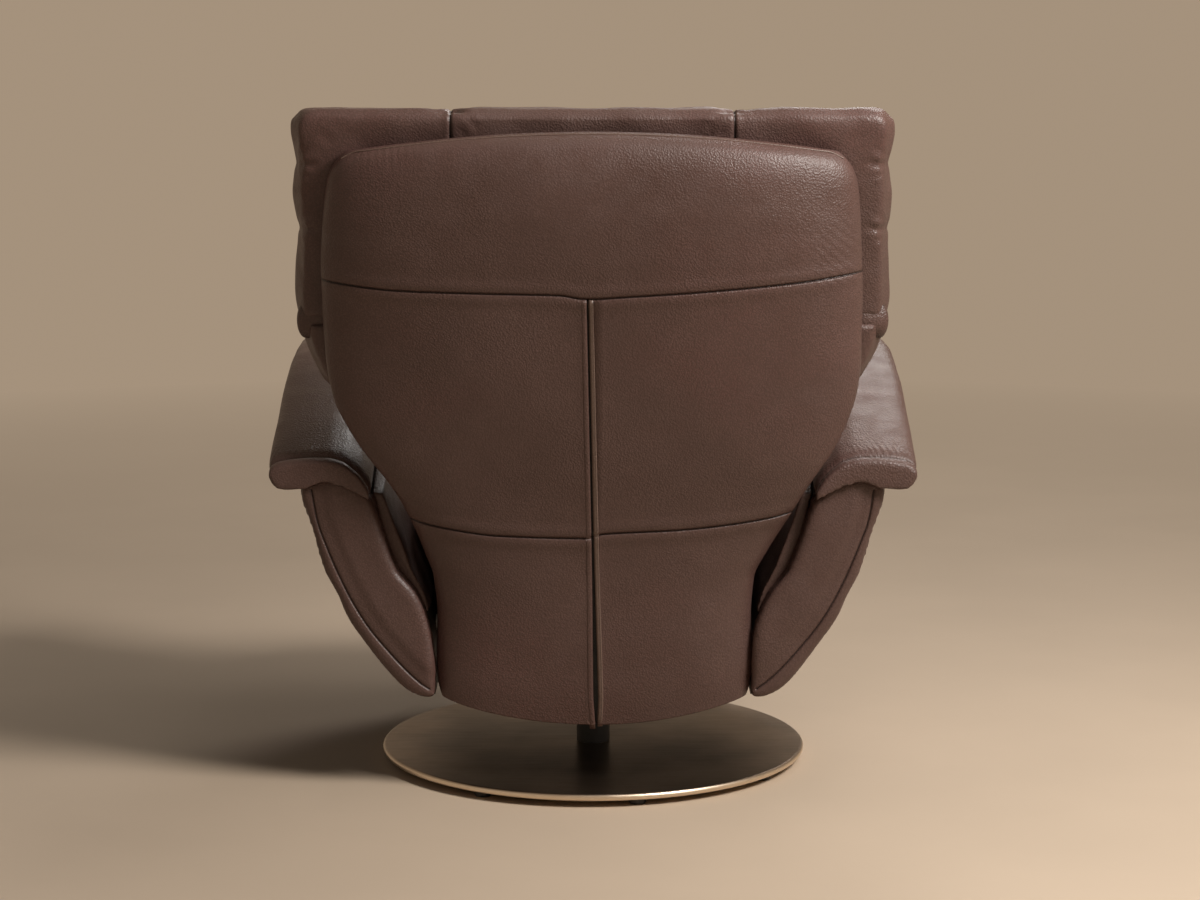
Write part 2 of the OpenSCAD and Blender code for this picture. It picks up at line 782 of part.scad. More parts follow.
// Ring of the padded outer side, closed along the core
function shell_ring(y) = concat(
  [for (row = arm_side_shares) [arm_out(row, row[1]), y, arm_lift(y, row[0])]],
  [for (top = arm_top_shares)
    [arm_out(arm_top_row, top[0]), y, arm_lift(y, 1) + top[1] * arm_rear_h - soft_gap]],
  [for (k = [len(arm_side_shares) - 1:-1:0]) let(row = arm_side_shares[k])
    [arm_in(row[2]) + arm_core_t + soft_gap, y, arm_lift(y, row[0])]]
);

module arm_shell() {
  loft([for (y = arm_places()) shell_ring(y)], true);
}

// The core's rings run from rear to front, so that its facets lie along those beside it
module arm_core() {
  places = arm_places();
  difference() {
    loft([for (k = [len(places) - 1:-1:0]) let(y = places[k]) concat(
      [for (row = arm_side_shares) [arm_in(row[2]) + arm_core_t, y, arm_lift(y, row[0])]],
      [for (j = [len(arm_side_shares) - 1:-1:0]) let(row = arm_side_shares[j])
        [arm_in(row[2]), y, arm_lift(y, row[0])]]
    )]);
    for (y = arm_bolt_places)
      along_x(0, arm_half, arm_bolt_d + 2 * run_gap, y, arm_bolt_z);
  }
}

// The lining lies on the core's inner face, above the side plates
lining_first = 4;
lining_bevel = 6;

module arm_lining() {
  last = len(arm_side_shares) - 1;
  loft([for (y = arm_places()) concat(
    [for (k = [lining_first:last]) let(row = arm_side_shares[k])
      [arm_in(row[2]) - soft_gap, y, arm_lift(y, row[0])]],
    [for (k = [last:-1:lining_first]) let(row = arm_side_shares[k], bevel = k == last ? lining_bevel : 0)
      [arm_in(row[3]) - 2 * soft_gap + bevel, y, arm_lift(y, row[0]) - bevel / 2]]
  )], true);
}

// A padded panel over the end of the arm, from one place along the chair to another.
// Shares of the panel's thickness: [place from inner to outer face, draw-in of the edge]
arm_end_shares = [[0, 0], [0.45, 0], [0.8, 0.1], [1, 0.33]];
function foot_rise(row, draw) = row[0] == 0 ? draw / 2 : 0;

module arm_end(inner_y, outer_y) {
  rings = [for (step = arm_end_shares) let(
      y = inner_y + step[0] * (outer_y - inner_y),
      draw = step[1] * arm_end_t
    ) concat(
    [for (row = arm_side_shares)
      [arm_out(row, row[1]) - draw, y, arm_lift(y, row[0]) + foot_rise(row, draw)]],
    [for (top = arm_top_shares)
      [min(arm_out(arm_top_row, top[0]), arm_out(arm_top_row, arm_top_outer_share) - draw), y,
        arm_lift(y, 1) + top[1] * arm_rear_h - soft_gap - draw / 4]],
    [for (j = [len(arm_side_shares) - 1:-1:0]) let(row = arm_side_shares[j])
      [arm_in(row[2]) + draw / 2, y, arm_lift(y, row[0]) + foot_rise(row, draw)]]
  )];
  loft(rings, outer_y > inner_y);
}

module arm_ends() {
  arm_end(arm_rear_y - arm_end_t, arm_rear_y);
  arm_end(-arm_front_y + arm_end_t, -arm_front_y);
}

// Section of the arm pad at its rear end. Shares: [across from the inner edge, height in pad_t],
// counted from the pad's outer lower edge
pad_shares = [
  [0, -0.42], [0.02, -0.72], [0.125, -0.32], [0.275, 0.08], [0.48, 0.14], [0.66, -0.16],
  [0.84, -0.24], [0.95, 0.0], [1, 0.42], [0.985, 0.80], [0.92, 1.02], [0.78, 1.16],
  [0.6, 1.22], [0.4, 1.20], [0.25, 1.00], [0.11, 0.46], [0.03, -0.08]
];
pad_end_shares = [
  [0, 0.86, 0.35], [0.012, 0.94, 0.62], [0.04, 0.985, 0.86], [0.09, 1, 0.97], [0.2, 1, 1], [0.32, 1, 1],
  [0.45, 1, 1], [0.58, 1, 1], [0.7, 1, 1], [0.82, 1, 1], [0.92, 1, 1], [0.97, 0.995, 0.99],
  [0.992, 0.985, 0.95], [1, 0.965, 0.88]
];
pad_mid_share = 0.4;

function pad_ring(row) = let(
    y = -pad_front_y + row[0] * (pad_front_y + pad_rear_y),
    lift = pad_rear_z + arm_rise(y),
    mid = pad_t * pad_mid_share
  ) [for (p = pad_shares)
    [arm_half - pad_w / 2 + pad_w * (p[0] - 0.5) * row[1], y, lift + mid + (p[1] * pad_t - mid) * row[2]]];

module arm_pad() {
  loft([for (row = pad_end_shares) pad_ring(row)], true);
}

module arm_core_left() {
  color(plywood) arm_core();
}

module arm_core_right() {
  color(plywood) mirror([1, 0, 0]) arm_core();
}

module arm_shell_left() {
  color(leather) arm_shell();
}

module arm_shell_right() {
  color(leather) mirror([1, 0, 0]) arm_shell();
}

module arm_ends_left() {
  color(leather_light) arm_ends();
}

module arm_ends_right() {
  color(leather_light) mirror([1, 0, 0]) arm_ends();
}

module arm_lining_left() {
  color(leather) arm_lining();
}

module arm_lining_right() {
  color(leather) mirror([1, 0, 0]) arm_lining();
}

module arm_pad_left() {
  color(leather) arm_pad();
}

module arm_pad_right() {
  color(leather) mirror([1, 0, 0]) arm_pad();
}

// Inner face of an arm's core at a height and a place along the chair
arm_inner_shares = [for (row = arm_side_shares) [row[0], row[2]]];
function core_face(z) = arm_in(table(arm_inner_shares, (z - arm_low) / arm_rear_h));

spacer_d = 24;
arm_bolt_in = 14;
arm_bolt_head_t = 3;

module arm_spacers() {
  color(steel) both_sides() for (y = arm_bolt_places)
    ring_x(chassis_w / 2, core_face(arm_bolt_z - spacer_d / 2) - run_gap, spacer_d,
      arm_bolt_d + 2 * run_gap, y, arm_bolt_z);
}

module arm_bolts() {
  color(dark_steel) both_sides() for (y = arm_bolt_places) {
    along_x(inner_w / 2, core_face(arm_bolt_z) + arm_bolt_in, arm_bolt_d, y, arm_bolt_z);
    along_x(inner_w / 2 - arm_bolt_head_t, inner_w / 2, arm_bolt_d * collar_share, y, arm_bolt_z);
  }
}

// Back. Local axes: Z runs up the rear plane of the back cushion, Y points to the rear.
module on_back() {
  translate([0, back_foot_y, back_foot_z]) rotate([-back_lean, 0, 0]) children();
}

function back_run(z) = (z - back_foot_z) / cos(back_lean);

back_tube_d = 20;
head_plate_t = 6;
belt_in = head_plate_t + 3 * soft_gap;
back_tube_in = belt_in + belt_t + back_tube_d / 2;
back_tube_half = hinge_plate_out - hinge_plate_t - back_tube_d / 2;
back_top_in = 70;
back_tube_top = back_run(cover_top) - back_top_in;
back_bend_r = 60;
back_low_bar = 26;
mid_bar_in = 46;
back_mid_bar = back_run(fold_z) - mid_bar_in;
back_belt_n = 5;

module back_frame() {
  color(dark_steel) on_back() translate([0, back_tube_in, 0]) union() {
    both_sides() {
      translate([back_tube_half, 0, 0]) cylinder(d = back_tube_d, h = back_tube_top - back_bend_r);
      translate([back_tube_half - back_bend_r, 0, back_tube_top - back_bend_r]) rotate([90, 0, 0])
        rotate_extrude(angle = 90) translate([back_bend_r, 0]) circle(d = back_tube_d);
    }
    along_x(-back_tube_half + back_bend_r, back_tube_half - back_bend_r, back_tube_d, 0, back_tube_top);
    along_x(-back_tube_half, back_tube_half, back_tube_d, 0, back_mid_bar);
    along_x(-back_tube_half, back_tube_half, back_tube_d, 0, back_low_bar);
  }
}

module back_hinge_plates() {
  dy = recline_y - back_foot_y;
  dz = recline_z - back_foot_z;
  hinge = [dy * cos(back_lean) - dz * sin(back_lean), dy * sin(back_lean) + dz * cos(back_lean)];
  r = rear_boss_r;
  from = hinge_plate_out - hinge_plate_t;
  color(dark_steel) both_sides() on_back() difference() {
    translate([from, 0, 0]) rotate([90, 0, 90]) linear_extrude(hinge_plate_t) union() {
      translate(hinge) circle(r = r);
      polygon([
        [hinge[0] - r / 3, hinge[1] - r * 0.9],
        [back_tube_in + back_tube_d / 2, hinge[1] + r / 4],
        [back_tube_in + back_tube_d / 2, 4 * r],
        [belt_in + belt_t, 4 * r],
        [belt_in + belt_t, -r / 2],
        [hinge[0] + r / 8, hinge[1] + r * 0.96]
      ]);
    }
    along_x(from - cut, hinge_plate_out + cut, pin_hole_d, hinge[0], hinge[1]);
  }
}

module back_belts() {
  first = back_low_bar + back_tube_d;
  last = back_mid_bar - back_tube_d - belt_w;
  color(webbing) on_back() for (k = [0:back_belt_n - 1])
    translate([-back_tube_half, belt_in, first + k * (last - first) / (back_belt_n - 1)])
      cube([2 * back_tube_half, belt_t, belt_w]);
}

// Cushions on the back: rings lie flat and climb from the bottom to the top.
fold_round = 50;
head_pivot_z = fold_z;
fold_front = back_y(fold_z) - back_cushion_t;
head_pivot_y = fold_front + head_pivot_in;
front_shares = [
  -1, -0.992, -0.965, -0.91, -0.82, -0.7, -0.58, -0.5, -0.461, -0.42, -0.32, -0.16, 0,
  0.16, 0.32, 0.42, 0.461, 0.5, 0.58, 0.7, 0.82, 0.91, 0.965, 0.992
];
rear_shares = [1, 0.96, 0.8, 0.4, -0.4, -0.8, -0.96];

function cushion_ring(w, front, rear, z, channel) = let(mid = front + (rear - front) * 0.55)
  concat(
    [for (s = front_shares) let(off = (abs(w * s) - head_seam_w / 2) / (head_seam_w / 24))
      [w * s, mid - (mid - front) * bow(s, 3.2) + channel * exp(-off * off), z]],
    [for (s = rear_shares) [w * s, mid + (rear - soft_gap - mid) * bow(s, 7), z]]
  );

// Shares: [height, half width of the head cushion's, extra depth at the front]
back_rows_shares = [
  [0, 0.54, -0.30], [0.03, 0.565, -0.14], [0.08, 0.59, -0.02], [0.16, 0.62, 0.05], [0.27, 0.655, 0.12],
  [0.40, 0.685, 0.18], [0.50, 0.73, 0.21], [0.57, 0.782, 0.2], [0.64, 0.848, 0.18], [0.74, 0.915, 0.13],
  [0.85, 0.955, 0.06], [0.90, 0.97, 0.03], [0.94, 0.978, 0.015], [0.975, 0.98, 0.005], [1, 0.972, 0]
];

module back_cushion() {
  high = fold_z - fold_gap / 2;
  tall = high - back_foot_z;
  color(leather) difference() {
    loft([for (row = back_rows_shares) let(
        z = back_foot_z + row[0] * tall,
        front = back_y(z) - back_cushion_t * (1 + row[2]) + fallback(high - z, fold_round)
      ) cushion_ring(back_w / 2 * row[1], front, back_y(z) + belt_in, z, 0)]);
    fitting_pockets();
  }
}

head_rows_shares = [
  [0, 0.982, 0], [0.03, 0.994, 0.005], [0.08, 1, 0.01], [0.16, 1, 0.03], [0.3, 0.997, 0.055],
  [0.4, 0.990, 0.06], [0.43, 0.982, 0.055], [0.47, 0.991, 0.065], [0.6, 0.998, 0.07], [0.7, 0.992, 0.06],
  [0.735, 0.984, 0.05], [0.78, 0.993, 0.05], [0.87, 1, 0.02], [0.92, 0.996, -0.02], [0.955, 0.982, -0.09],
  [0.982, 0.962, -0.2], [0.995, 0.94, -0.32], [1, 0.91, -0.45]
];
head_channel = 7;
head_top_share = 0.95;

module head_cushion() {
  low = fold_z + fold_gap / 2;
  tall = chair_h - low;
  color(leather) difference() {
    loft([for (row = head_rows_shares) let(
        z = low + row[0] * tall,
        front = back_y(z) - back_cushion_t * (1 + row[2]) + fallback(z - low, fold_round),
        rear = back_y(z) - 3 * back_cushion_t * max(0, row[0] - head_top_share)
      ) cushion_ring(back_w / 2 * row[1], front, rear, z, head_channel * min(1, row[0] * 8))]);
    fitting_pockets();
  }
}

// Head hinge: two straps on each side, in pockets of the cushions
fitting_x = 120;
strap_t = 3;
strap_w = 24;
fitting_boss_r = 16;
pocket_play = 3;
pocket_w = 3 * strap_t + 2 * loose_gap + pocket_play;
pocket_h = 136;
head_pin_d = 8;

module fitting_pockets() {
  front = head_pivot_y - fitting_boss_r - pocket_play;
  both_sides() translate([fitting_x - pocket_w / 2, front, head_pivot_z - pocket_h / 2])
    cube([pocket_w, back_cushion_t, pocket_h]);
}

// A strap from the head hinge to a height on the back's rear plane, then along that plane
module fitting_strap(x, z_to, in) {
  y_to = back_y(z_to);
  side = z_to > head_pivot_z ? 1 : -1;
  h = strap_w / 2;
  difference() {
    union() {
      along_x(x, x + strap_t, 2 * fitting_boss_r, head_pivot_y, head_pivot_z);
      upright_plate(x, x + strap_t, [
        [head_pivot_y, head_pivot_z - h], [y_to + in, z_to - h],
        [y_to + in + h, z_to - h * side], [y_to + in + h, z_to + h], [y_to + in, z_to + h],
        [head_pivot_y, head_pivot_z + h]
      ]);
    }
    along_x(x - cut, x + strap_t + cut, head_pin_d + 2 * run_gap, head_pivot_y, head_pivot_z);
  }
}

lower_strap_z = back_foot_z + back_mid_bar * cos(back_lean) - back_tube_in * sin(back_lean);
upper_strap_rise = 42;
upper_strap_z = fold_z + upper_strap_rise;

module head_fittings_lower() {
  color(steel) both_sides() difference() {
    fitting_strap(fitting_x - strap_t / 2, lower_strap_z, back_tube_in);
    on_back() along_x(0, chassis_w, back_tube_d + 2 * run_gap, back_tube_in, back_mid_bar);
  }
}

module head_fittings_upper() {
  gap = strap_t / 2 + loose_gap;
  color(steel) both_sides() difference() {
    union() {
      fitting_strap(fitting_x + gap, upper_strap_z, soft_gap);
      fitting_strap(fitting_x - gap - strap_t, upper_strap_z, soft_gap);
    }
    on_back() translate([0, soft_gap, back_run(upper_strap_z) - 2 * strap_w])
      cube([back_w, back_cushion_t, 4 * strap_w]);
  }
}

module head_pins() {
  half = 1.5 * strap_t + loose_gap;
  color(dark_steel) both_sides()
    along_x(fitting_x - half - run_gap, fitting_x + half + run_gap, head_pin_d, head_pivot_y, head_pivot_z);
}

head_plate_half_share = 0.76;
head_plate_low_share = 0.07;
head_plate_top_share = 0.8;
head_plate_corner_share = 0.18;
head_plate_hole_r_share = 0.15;
head_plate_hole_share = 0.62;

module head_plate() {
  low = back_run(fold_z + (chair_h - fold_z) * head_plate_low_share);
  high = back_run(fold_z + (chair_h - fold_z) * head_plate_top_share);
  half = back_w / 2 * head_plate_half_share;
  corner = (high - low) * head_plate_corner_share;
  color(plywood) on_back() translate([0, soft_gap + run_gap + head_plate_t, 0]) rotate([90, 0, 0])
    linear_extrude(head_plate_t) difference() {
      union() {
        translate([-half, low]) square([2 * half, high - low - corner]);
        translate([-half + corner, low]) square([2 * half - 2 * corner, high - low]);
        for (s = [-1, 1]) translate([s * (half - corner), high - corner]) circle(r = corner);
      }
      for (s = [-1, 1]) translate([s * half * head_plate_hole_share, (low + high) / 2])
        circle(r = (high - low) * head_plate_hole_r_share);
    }
}

// Rear cover, a padded shell behind the back. Shares:
// [height, half width, depth of the middle behind the cushion, depth of the edge]
cover_shares = [
  [0, 0.555, 0.84, 0.40], [0.012, 0.578, 0.84, 0.37], [0.035, 0.589, 0.82, 0.31],
  [0.09, 0.591, 0.78, 0.24], [0.16, 0.592, 0.735, 0.19], [0.225, 0.612, 0.70, 0.18],
  [0.265, 0.650, 0.685, 0.175], [0.305, 0.692, 0.675, 0.18], [0.34, 0.728, 0.68, 0.26],
  [0.375, 0.778, 0.70, 0.37], [0.41, 0.842, 0.73, 0.385], [0.445, 0.898, 0.76, 0.35],
  [0.48, 0.938, 0.79, 0.29], [0.53, 0.975, 0.82, 0.20], [0.60, 0.994, 0.86, 0.10],
  [0.68, 1, 0.895, 0.04], [0.77, 0.995, 0.93, 0.04], [0.86, 0.986, 0.97, 0.04],
  [0.92, 0.98, 1.0, 0.04], [0.955, 0.966, 0.985, 0.04], [0.975, 0.95, 0.91, 0.04],
  [0.989, 0.933, 0.78, 0.04], [0.997, 0.92, 0.58, 0.04], [1, 0.912, 0.34, 0.04],
  [0.998, 0.908, 0.13, 0.04]
];
cover_cols_shares = [
  -1, -0.985, -0.94, -0.86, -0.74, -0.58, -0.4, -0.2, 0, 0.2, 0.4, 0.58, 0.74, 0.86, 0.94, 0.985, 1
];
cover_drop_share = 0.035;
cover_hem_share = 0.022;
cover_edge_t = 1;
cover_tall = cover_top - cover_low;

// A point of the cover at a row and a share across, set in by a wall
function cover_point(row, s, wall) = let(
    top = max(0, (row[0] - 0.8) / 0.2),
    hem = max(0, 1 - row[0] / 0.1),
    z = cover_low + cover_tall * (row[0] + (hem * cover_hem_share - top * cover_drop_share) * s * s),
    w = cover_w / 2 * row[1] - wall,
    edge = row[3] * cover_depth,
    deep = max(edge + cover_edge_t, row[2] * cover_depth - wall)
  ) [w * s, back_y(z) + edge + (deep - edge) * bow(s, 2.6), z - (top > 0.75 ? wall * (top - 0.75) * 4 : 0)];

module rear_cover() {
  color(leather) shell_between(
    [for (row = cover_shares) [for (s = cover_cols_shares) cover_point(row, s, 0)]],
    [for (row = cover_shares) [for (s = cover_cols_shares) cover_point(row, s, cover_t)]]
  );
}

// Strips and zip down the centre line of the cover
slit_top_share = 0.735;
slit_gap_w = 4;
slit_strip_t = 2;
zip_t = 1;

function cover_rear(share) = let(
    depth = table([for (row = cover_shares) [row[0], row[2]]], share),
    z = cover_low + share * cover_tall
  ) [back_y(z) + depth * cover_depth, z];

slit_rows_shares = concat([for (row = cover_shares) if (row[0] < slit_top_share) row[0]], [slit_top_share]);

// A thin strip that lies on the cover, between two places across
module cover_strip(from, to, proud, t) {
  loft([for (share = slit_rows_shares) let(p = cover_rear(share), y = p[0] + proud) [
    [from, y, p[1]], [to, y, p[1]], [to, y + t, p[1]], [from, y + t, p[1]]
  ]]);
}

module cover_slit_strips() {
  color(leather_light) both_sides()
    cover_strip(slit_gap_w / 2, slit_gap_w / 2 + slit_strip_w, soft_gap, slit_strip_t);
}

module cover_zip() {
  color(black_plastic) cover_strip(-slit_gap_w / 2 + soft_gap, slit_gap_w / 2 - soft_gap, soft_gap, zip_t);
}

// Leg rest

leg_board_front = -leg_y + leg_roll_r / 7;
bracket_side_gap = 20;
bracket_in = inner_w / 2 - bracket_side_gap;
bracket_t = 4;
bracket_boss_r = 12;
bracket_step = 1;
leg_face = -leg_y - leg_roll_r;
leg_rear = leg_board_front + board_t;
flap_hinge_gap = 2.5;
flap_hinge_rise = 2;
flap_hinge_y = leg_rear + flap_hinge_gap;
flap_hinge_z = leg_low + flap_hinge_rise;
flap_board_y = flap_hinge_y + flap_hinge_gap;
knuckle_d = 9;
hinge_pin_d = 4;
knuckle_n = 5;
knuckle_reach = 6;
board_low = flap_hinge_z + knuckle_reach;
board_top = leg_z - bracket_boss_r;

module knuckles(first, board_y) {
  pitch = flap_w / knuckle_n / 2;
  for (k = [first:2:2 * knuckle_n - 1]) let(x = -flap_w / 2 + k * pitch) {
    along_x(x + loose_gap, x + pitch - loose_gap, knuckle_d, flap_hinge_y, flap_hinge_z);
    translate([x + loose_gap, min(board_y, flap_hinge_y), flap_hinge_z])
      cube([pitch - 2 * loose_gap, abs(board_y - flap_hinge_y), board_low - flap_hinge_z + cut]);
  }
}

module drilled_for_hinge() {
  difference() {
    children();
    along_x(-leg_w / 2, leg_w / 2, hinge_pin_d + 2 * run_gap, flap_hinge_y, flap_hinge_z);
  }
}

module legrest_board() {
  color(plywood) drilled_for_hinge() union() {
    translate([-bracket_in, leg_board_front, board_low])
      cube([2 * bracket_in, board_t, board_top - board_low]);
    intersection() {
      knuckles(0, leg_rear - board_t / 2);
      translate([-leg_w / 2, -seat_front, 0]) cube([leg_w, 2 * seat_front, board_low + cut]);
    }
  }
}

module flap_board() {
  color(plywood) drilled_for_hinge() union() {
    translate([-flap_w / 2, flap_board_y, board_low]) cube([flap_w, board_t, flap_len - knuckle_reach]);
    knuckles(1, flap_board_y + board_t / 2);
  }
}

hinge_pin_end = 3;

module flap_hinge_pin() {
  reach = flap_w / 2 + hinge_pin_end;
  color(steel) along_x(-reach, reach, hinge_pin_d, flap_hinge_y, flap_hinge_z);
}

module legrest_brackets() {
  front = leg_board_front + bracket_step;
  low = board_low + 2 * front_boss_r;
  color(dark_steel) both_sides() difference() {
    union() {
      along_x(bracket_in, bracket_in + bracket_t, 2 * bracket_boss_r, -leg_y, leg_z);
      upright_plate(bracket_in, bracket_in + bracket_t, [
        [-leg_y - bracket_boss_r, leg_z], [front, leg_z - 2 * front_boss_r],
        [front, low], [leg_rear, low],
        [leg_rear, leg_z - front_boss_r], [-leg_y + bracket_boss_r, leg_z]
      ]);
    }
    along_x(0, leg_w, pin_hole_d, -leg_y, leg_z);
  }
}

module legrest_pins() {
  bracket_out = bracket_in + bracket_t;
  color(steel) both_sides() {
    along_x(bracket_in, chassis_w / 2, pivot_d, -leg_y, leg_z);
    along_x(chassis_w / 2, chassis_w / 2 + pin_head_t, pivot_d * pin_head_share, -leg_y, leg_z);
    along_x(bracket_out + loose_gap, inner_w / 2, pivot_d * collar_share, -leg_y, leg_z);
  }
}

// Pad on the front of the leg rest: its top rolls over the hinge. Rings climb from the bottom.
leg_rows_shares = [0, 0.05, 0.13, 0.3, 0.5, 0.7, 0.88, 1];
leg_cols_shares = [-1, -0.985, -0.94, -0.82, -0.55, -0.2, 0.2, 0.55, 0.82, 0.94, 0.985];
leg_back_shares = [1, 0.6, 0, -0.6];
slot_in = 4;
slot_out = 9;
slot_front = 2;

function leg_ring(z, front, rear, w) = concat(
  [for (s = leg_cols_shares) [w * s, rear - (rear - front) * bow(s, 4), z]],
  [for (s = leg_back_shares) [w * s, rear, z]]
);

module legrest_pad() {
  half = leg_w / 2;
  tall = leg_z - leg_low;
  r = leg_roll_r;
  rear = leg_board_front - soft_gap;
  color(leather) difference() {
    loft(concat(
      [for (s = leg_rows_shares) leg_ring(leg_low + s * tall,
        leg_face + (rear - leg_face) * fallback(s * 6, 1) * 0.6, rear,
        half * (s < 0.05 ? 0.975 : s < 0.13 ? 0.99 : 1))],
      [for (a = [20, 38, 54, 68, 78])
        leg_ring(leg_z + r * sin(a), -leg_y - r * cos(a), rear, half * (a > 60 ? 0.985 : 1))]
    ));
    both_sides()
      translate([bracket_in - slot_in, -leg_y - front_boss_r - slot_front, leg_z - 2 * front_boss_r])
      cube([chassis_w / 2 + slot_out - bracket_in, 4 * front_boss_r, 4 * front_boss_r + leg_roll_r]);
  }
}

flap_rows_shares = [0, 0.06, 0.16, 0.4, 0.65, 0.86, 0.95, 1];

module flap_pad() {
  front = flap_board_y + board_t + soft_gap;
  low = board_low;
  tall = flap_len - knuckle_reach;
  w = flap_w / 2;
  color(leather) loft([for (s = flap_rows_shares) let(
      round = 1 - 0.35 * pow(abs(2 * s - 1), 6), z = low + s * tall, rear = front + flap_pad_t * round
    ) concat(
      [for (c = leg_back_shares) [-w * c, front, z]],
      [for (c = leg_cols_shares) [-w * c, front + (rear - front) * bow(c, 4), z]]
    )]);
}

base_disc();
floor_glides();
column();
column_screws();
swivel_bushes();
thrust_bearing();
swivel_shaft();
shaft_screws();
carrier_beams();
side_plate_left();
side_plate_right();
seat_frame();
seat_belts();
seat_cushion();
cross_tube();
recline_pins();
gas_spring_cylinder();
gas_spring_rod();
gas_spring_pins();
release_cable();
release_lever();
lever_grip();
lever_pin();
arm_core_left();
arm_core_right();
arm_shell_left();
arm_shell_right();
arm_ends_left();
arm_ends_right();
arm_lining_left();
arm_lining_right();
arm_pad_left();
arm_pad_right();
arm_spacers();
arm_bolts();
back_frame();
back_hinge_plates();
recline_crank();
back_belts();
back_cushion();
rear_cover();
cover_slit_strips();
cover_zip();
head_fittings_lower();
head_fittings_upper();
head_pins();
head_plate();
head_cushion();
legrest_brackets();
legrest_pins();
legrest_board();
legrest_pad();
flap_board();
flap_pad();
flap_hinge_pin();
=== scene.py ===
"""The finished swivel recliner: leather, seams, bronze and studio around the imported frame.

Lengths are in metres. The chair faces -Y, its back is at +Y and the swivel axis is Z. The
sitter's left is +X, which is the left of the picture, taken from behind.
"""

from __future__ import annotations

import json
import logging
import math
from contextlib import contextmanager
from dataclasses import dataclass
from enum import Enum
from itertools import product
from typing import Callable, Iterator

import bmesh
import bpy
import numpy as np
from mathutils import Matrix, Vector

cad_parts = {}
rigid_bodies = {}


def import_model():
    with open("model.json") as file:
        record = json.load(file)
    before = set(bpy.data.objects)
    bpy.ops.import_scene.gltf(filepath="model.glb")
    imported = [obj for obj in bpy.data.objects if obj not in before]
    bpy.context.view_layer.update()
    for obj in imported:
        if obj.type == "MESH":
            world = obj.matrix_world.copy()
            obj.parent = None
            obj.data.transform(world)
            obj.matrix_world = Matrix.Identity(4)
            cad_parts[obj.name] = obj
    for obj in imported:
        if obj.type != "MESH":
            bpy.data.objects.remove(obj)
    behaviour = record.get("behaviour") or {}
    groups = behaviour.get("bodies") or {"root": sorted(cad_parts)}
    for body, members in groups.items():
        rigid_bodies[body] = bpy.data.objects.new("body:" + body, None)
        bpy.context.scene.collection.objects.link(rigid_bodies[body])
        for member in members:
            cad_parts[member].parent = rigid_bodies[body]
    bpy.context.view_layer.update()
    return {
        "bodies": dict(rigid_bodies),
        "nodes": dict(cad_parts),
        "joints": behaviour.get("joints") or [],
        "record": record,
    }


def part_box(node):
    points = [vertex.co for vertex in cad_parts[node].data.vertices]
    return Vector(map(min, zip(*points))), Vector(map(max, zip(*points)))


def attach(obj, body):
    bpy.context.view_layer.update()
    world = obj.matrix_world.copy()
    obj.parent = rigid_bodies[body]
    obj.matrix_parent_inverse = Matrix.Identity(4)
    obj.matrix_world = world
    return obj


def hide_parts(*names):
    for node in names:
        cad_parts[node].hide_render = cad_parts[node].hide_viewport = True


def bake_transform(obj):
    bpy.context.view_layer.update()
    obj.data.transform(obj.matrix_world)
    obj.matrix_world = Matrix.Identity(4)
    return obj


LOG = logging.getLogger("recliner")

Piece = bpy.types.Object
Array = np.ndarray
Point = tuple[float, float, float]
Colour = tuple[float, float, float]
Rows = tuple[tuple[float, ...], ...]
Face = tuple[int, ...]
Field = Callable[[Array, Array], Array]
Socket = bpy.types.NodeSocket

# The rear plane of the back cushion, which leans back from its foot
BACK_LEAN = math.radians(10.2)
BACK_NORMAL = (0.0, math.cos(BACK_LEAN), -math.sin(BACK_LEAN))
BACK_FOOT = (0.206, 0.360)
FOLD_Z = 0.700
PANEL_SEAM_X = 0.199
CREVICE = "crevice"

# How the leather moves while it swells
LEATHER_CLOTH = {
    "quality": 4, "mass": 0.35, "tension_stiffness": 12, "compression_stiffness": 12,
    "bending_stiffness": 0.6, "use_pressure": True, "shrink_min": -0.02,
}

# Farthest that the skin may slide along itself while it swells
SLIDE = 0.004

# Places of the loops beside a seam, in widths of the seam, and how far off faces are cut or split
SEAM_LOOPS = (-2.0, -1.0, -0.4, 0.0, 0.4, 1.0, 2.0)
CUT_REACH = 0.012
SPLIT_REACHES = (0.006, 0.0035)

# One pair of smoothings, which rounds without drawing in, and the hold from which points stay
ROUND_IN, ROUND_OUT = 0.5, -0.52
STAYS = (0.75, 0.97)

# How wide the painted shade of a seam is, in widths of the seam, and how dark a crease's painted shade gets
# by its depth
SEAM_DARK, PATH_DARK = 0.75, 0.7
CREASE_FULL, CREASE_DARK = 0.008, 0.35

# Half sizes of a zip tooth, and a box's faces by its corners
TOOTH = (0.0009, 0.0005, 0.0007)
BOX_FACES = ((0, 1, 3, 2), (4, 6, 7, 5), (0, 4, 5, 1), (2, 3, 7, 6), (0, 2, 6, 4), (1, 5, 7, 3))


def back_plane(z: Array | float) -> Array | float:
    """Give the rear plane's place along Y at a height.

    Args:
        z: One height, or many.

    Returns:
        The place along Y, of the same shape as z.
    """
    return BACK_FOOT[0] + (z - BACK_FOOT[1]) * math.tan(BACK_LEAN)


def rear_at(z: float) -> float:
    """Give the rear plane's place along Y at one height."""
    return float(back_plane(z))


def bow(share: Array, power: float) -> Array:
    """Give the height of a rounded edge at a share of its half width.

    Args:
        share: Places from -1 to 1.
        power: How square the round is.

    Returns:
        Heights from 0 at the edge to 1 in the middle.
    """
    return np.clip(1 - np.abs(share) ** power, 0, None) ** (1 / power)


def bell(distance: Array, width: float) -> Array:
    """Give a soft bump of height 1 that fades over a width."""
    return np.exp(-((distance / width) ** 2))


def ramp(value: Array, low: float, high: float) -> Array:
    """Rise smoothly from 0 at low to 1 at high."""
    t = np.clip((value - low) / (high - low), 0, 1)
    return t * t * (3 - 2 * t)


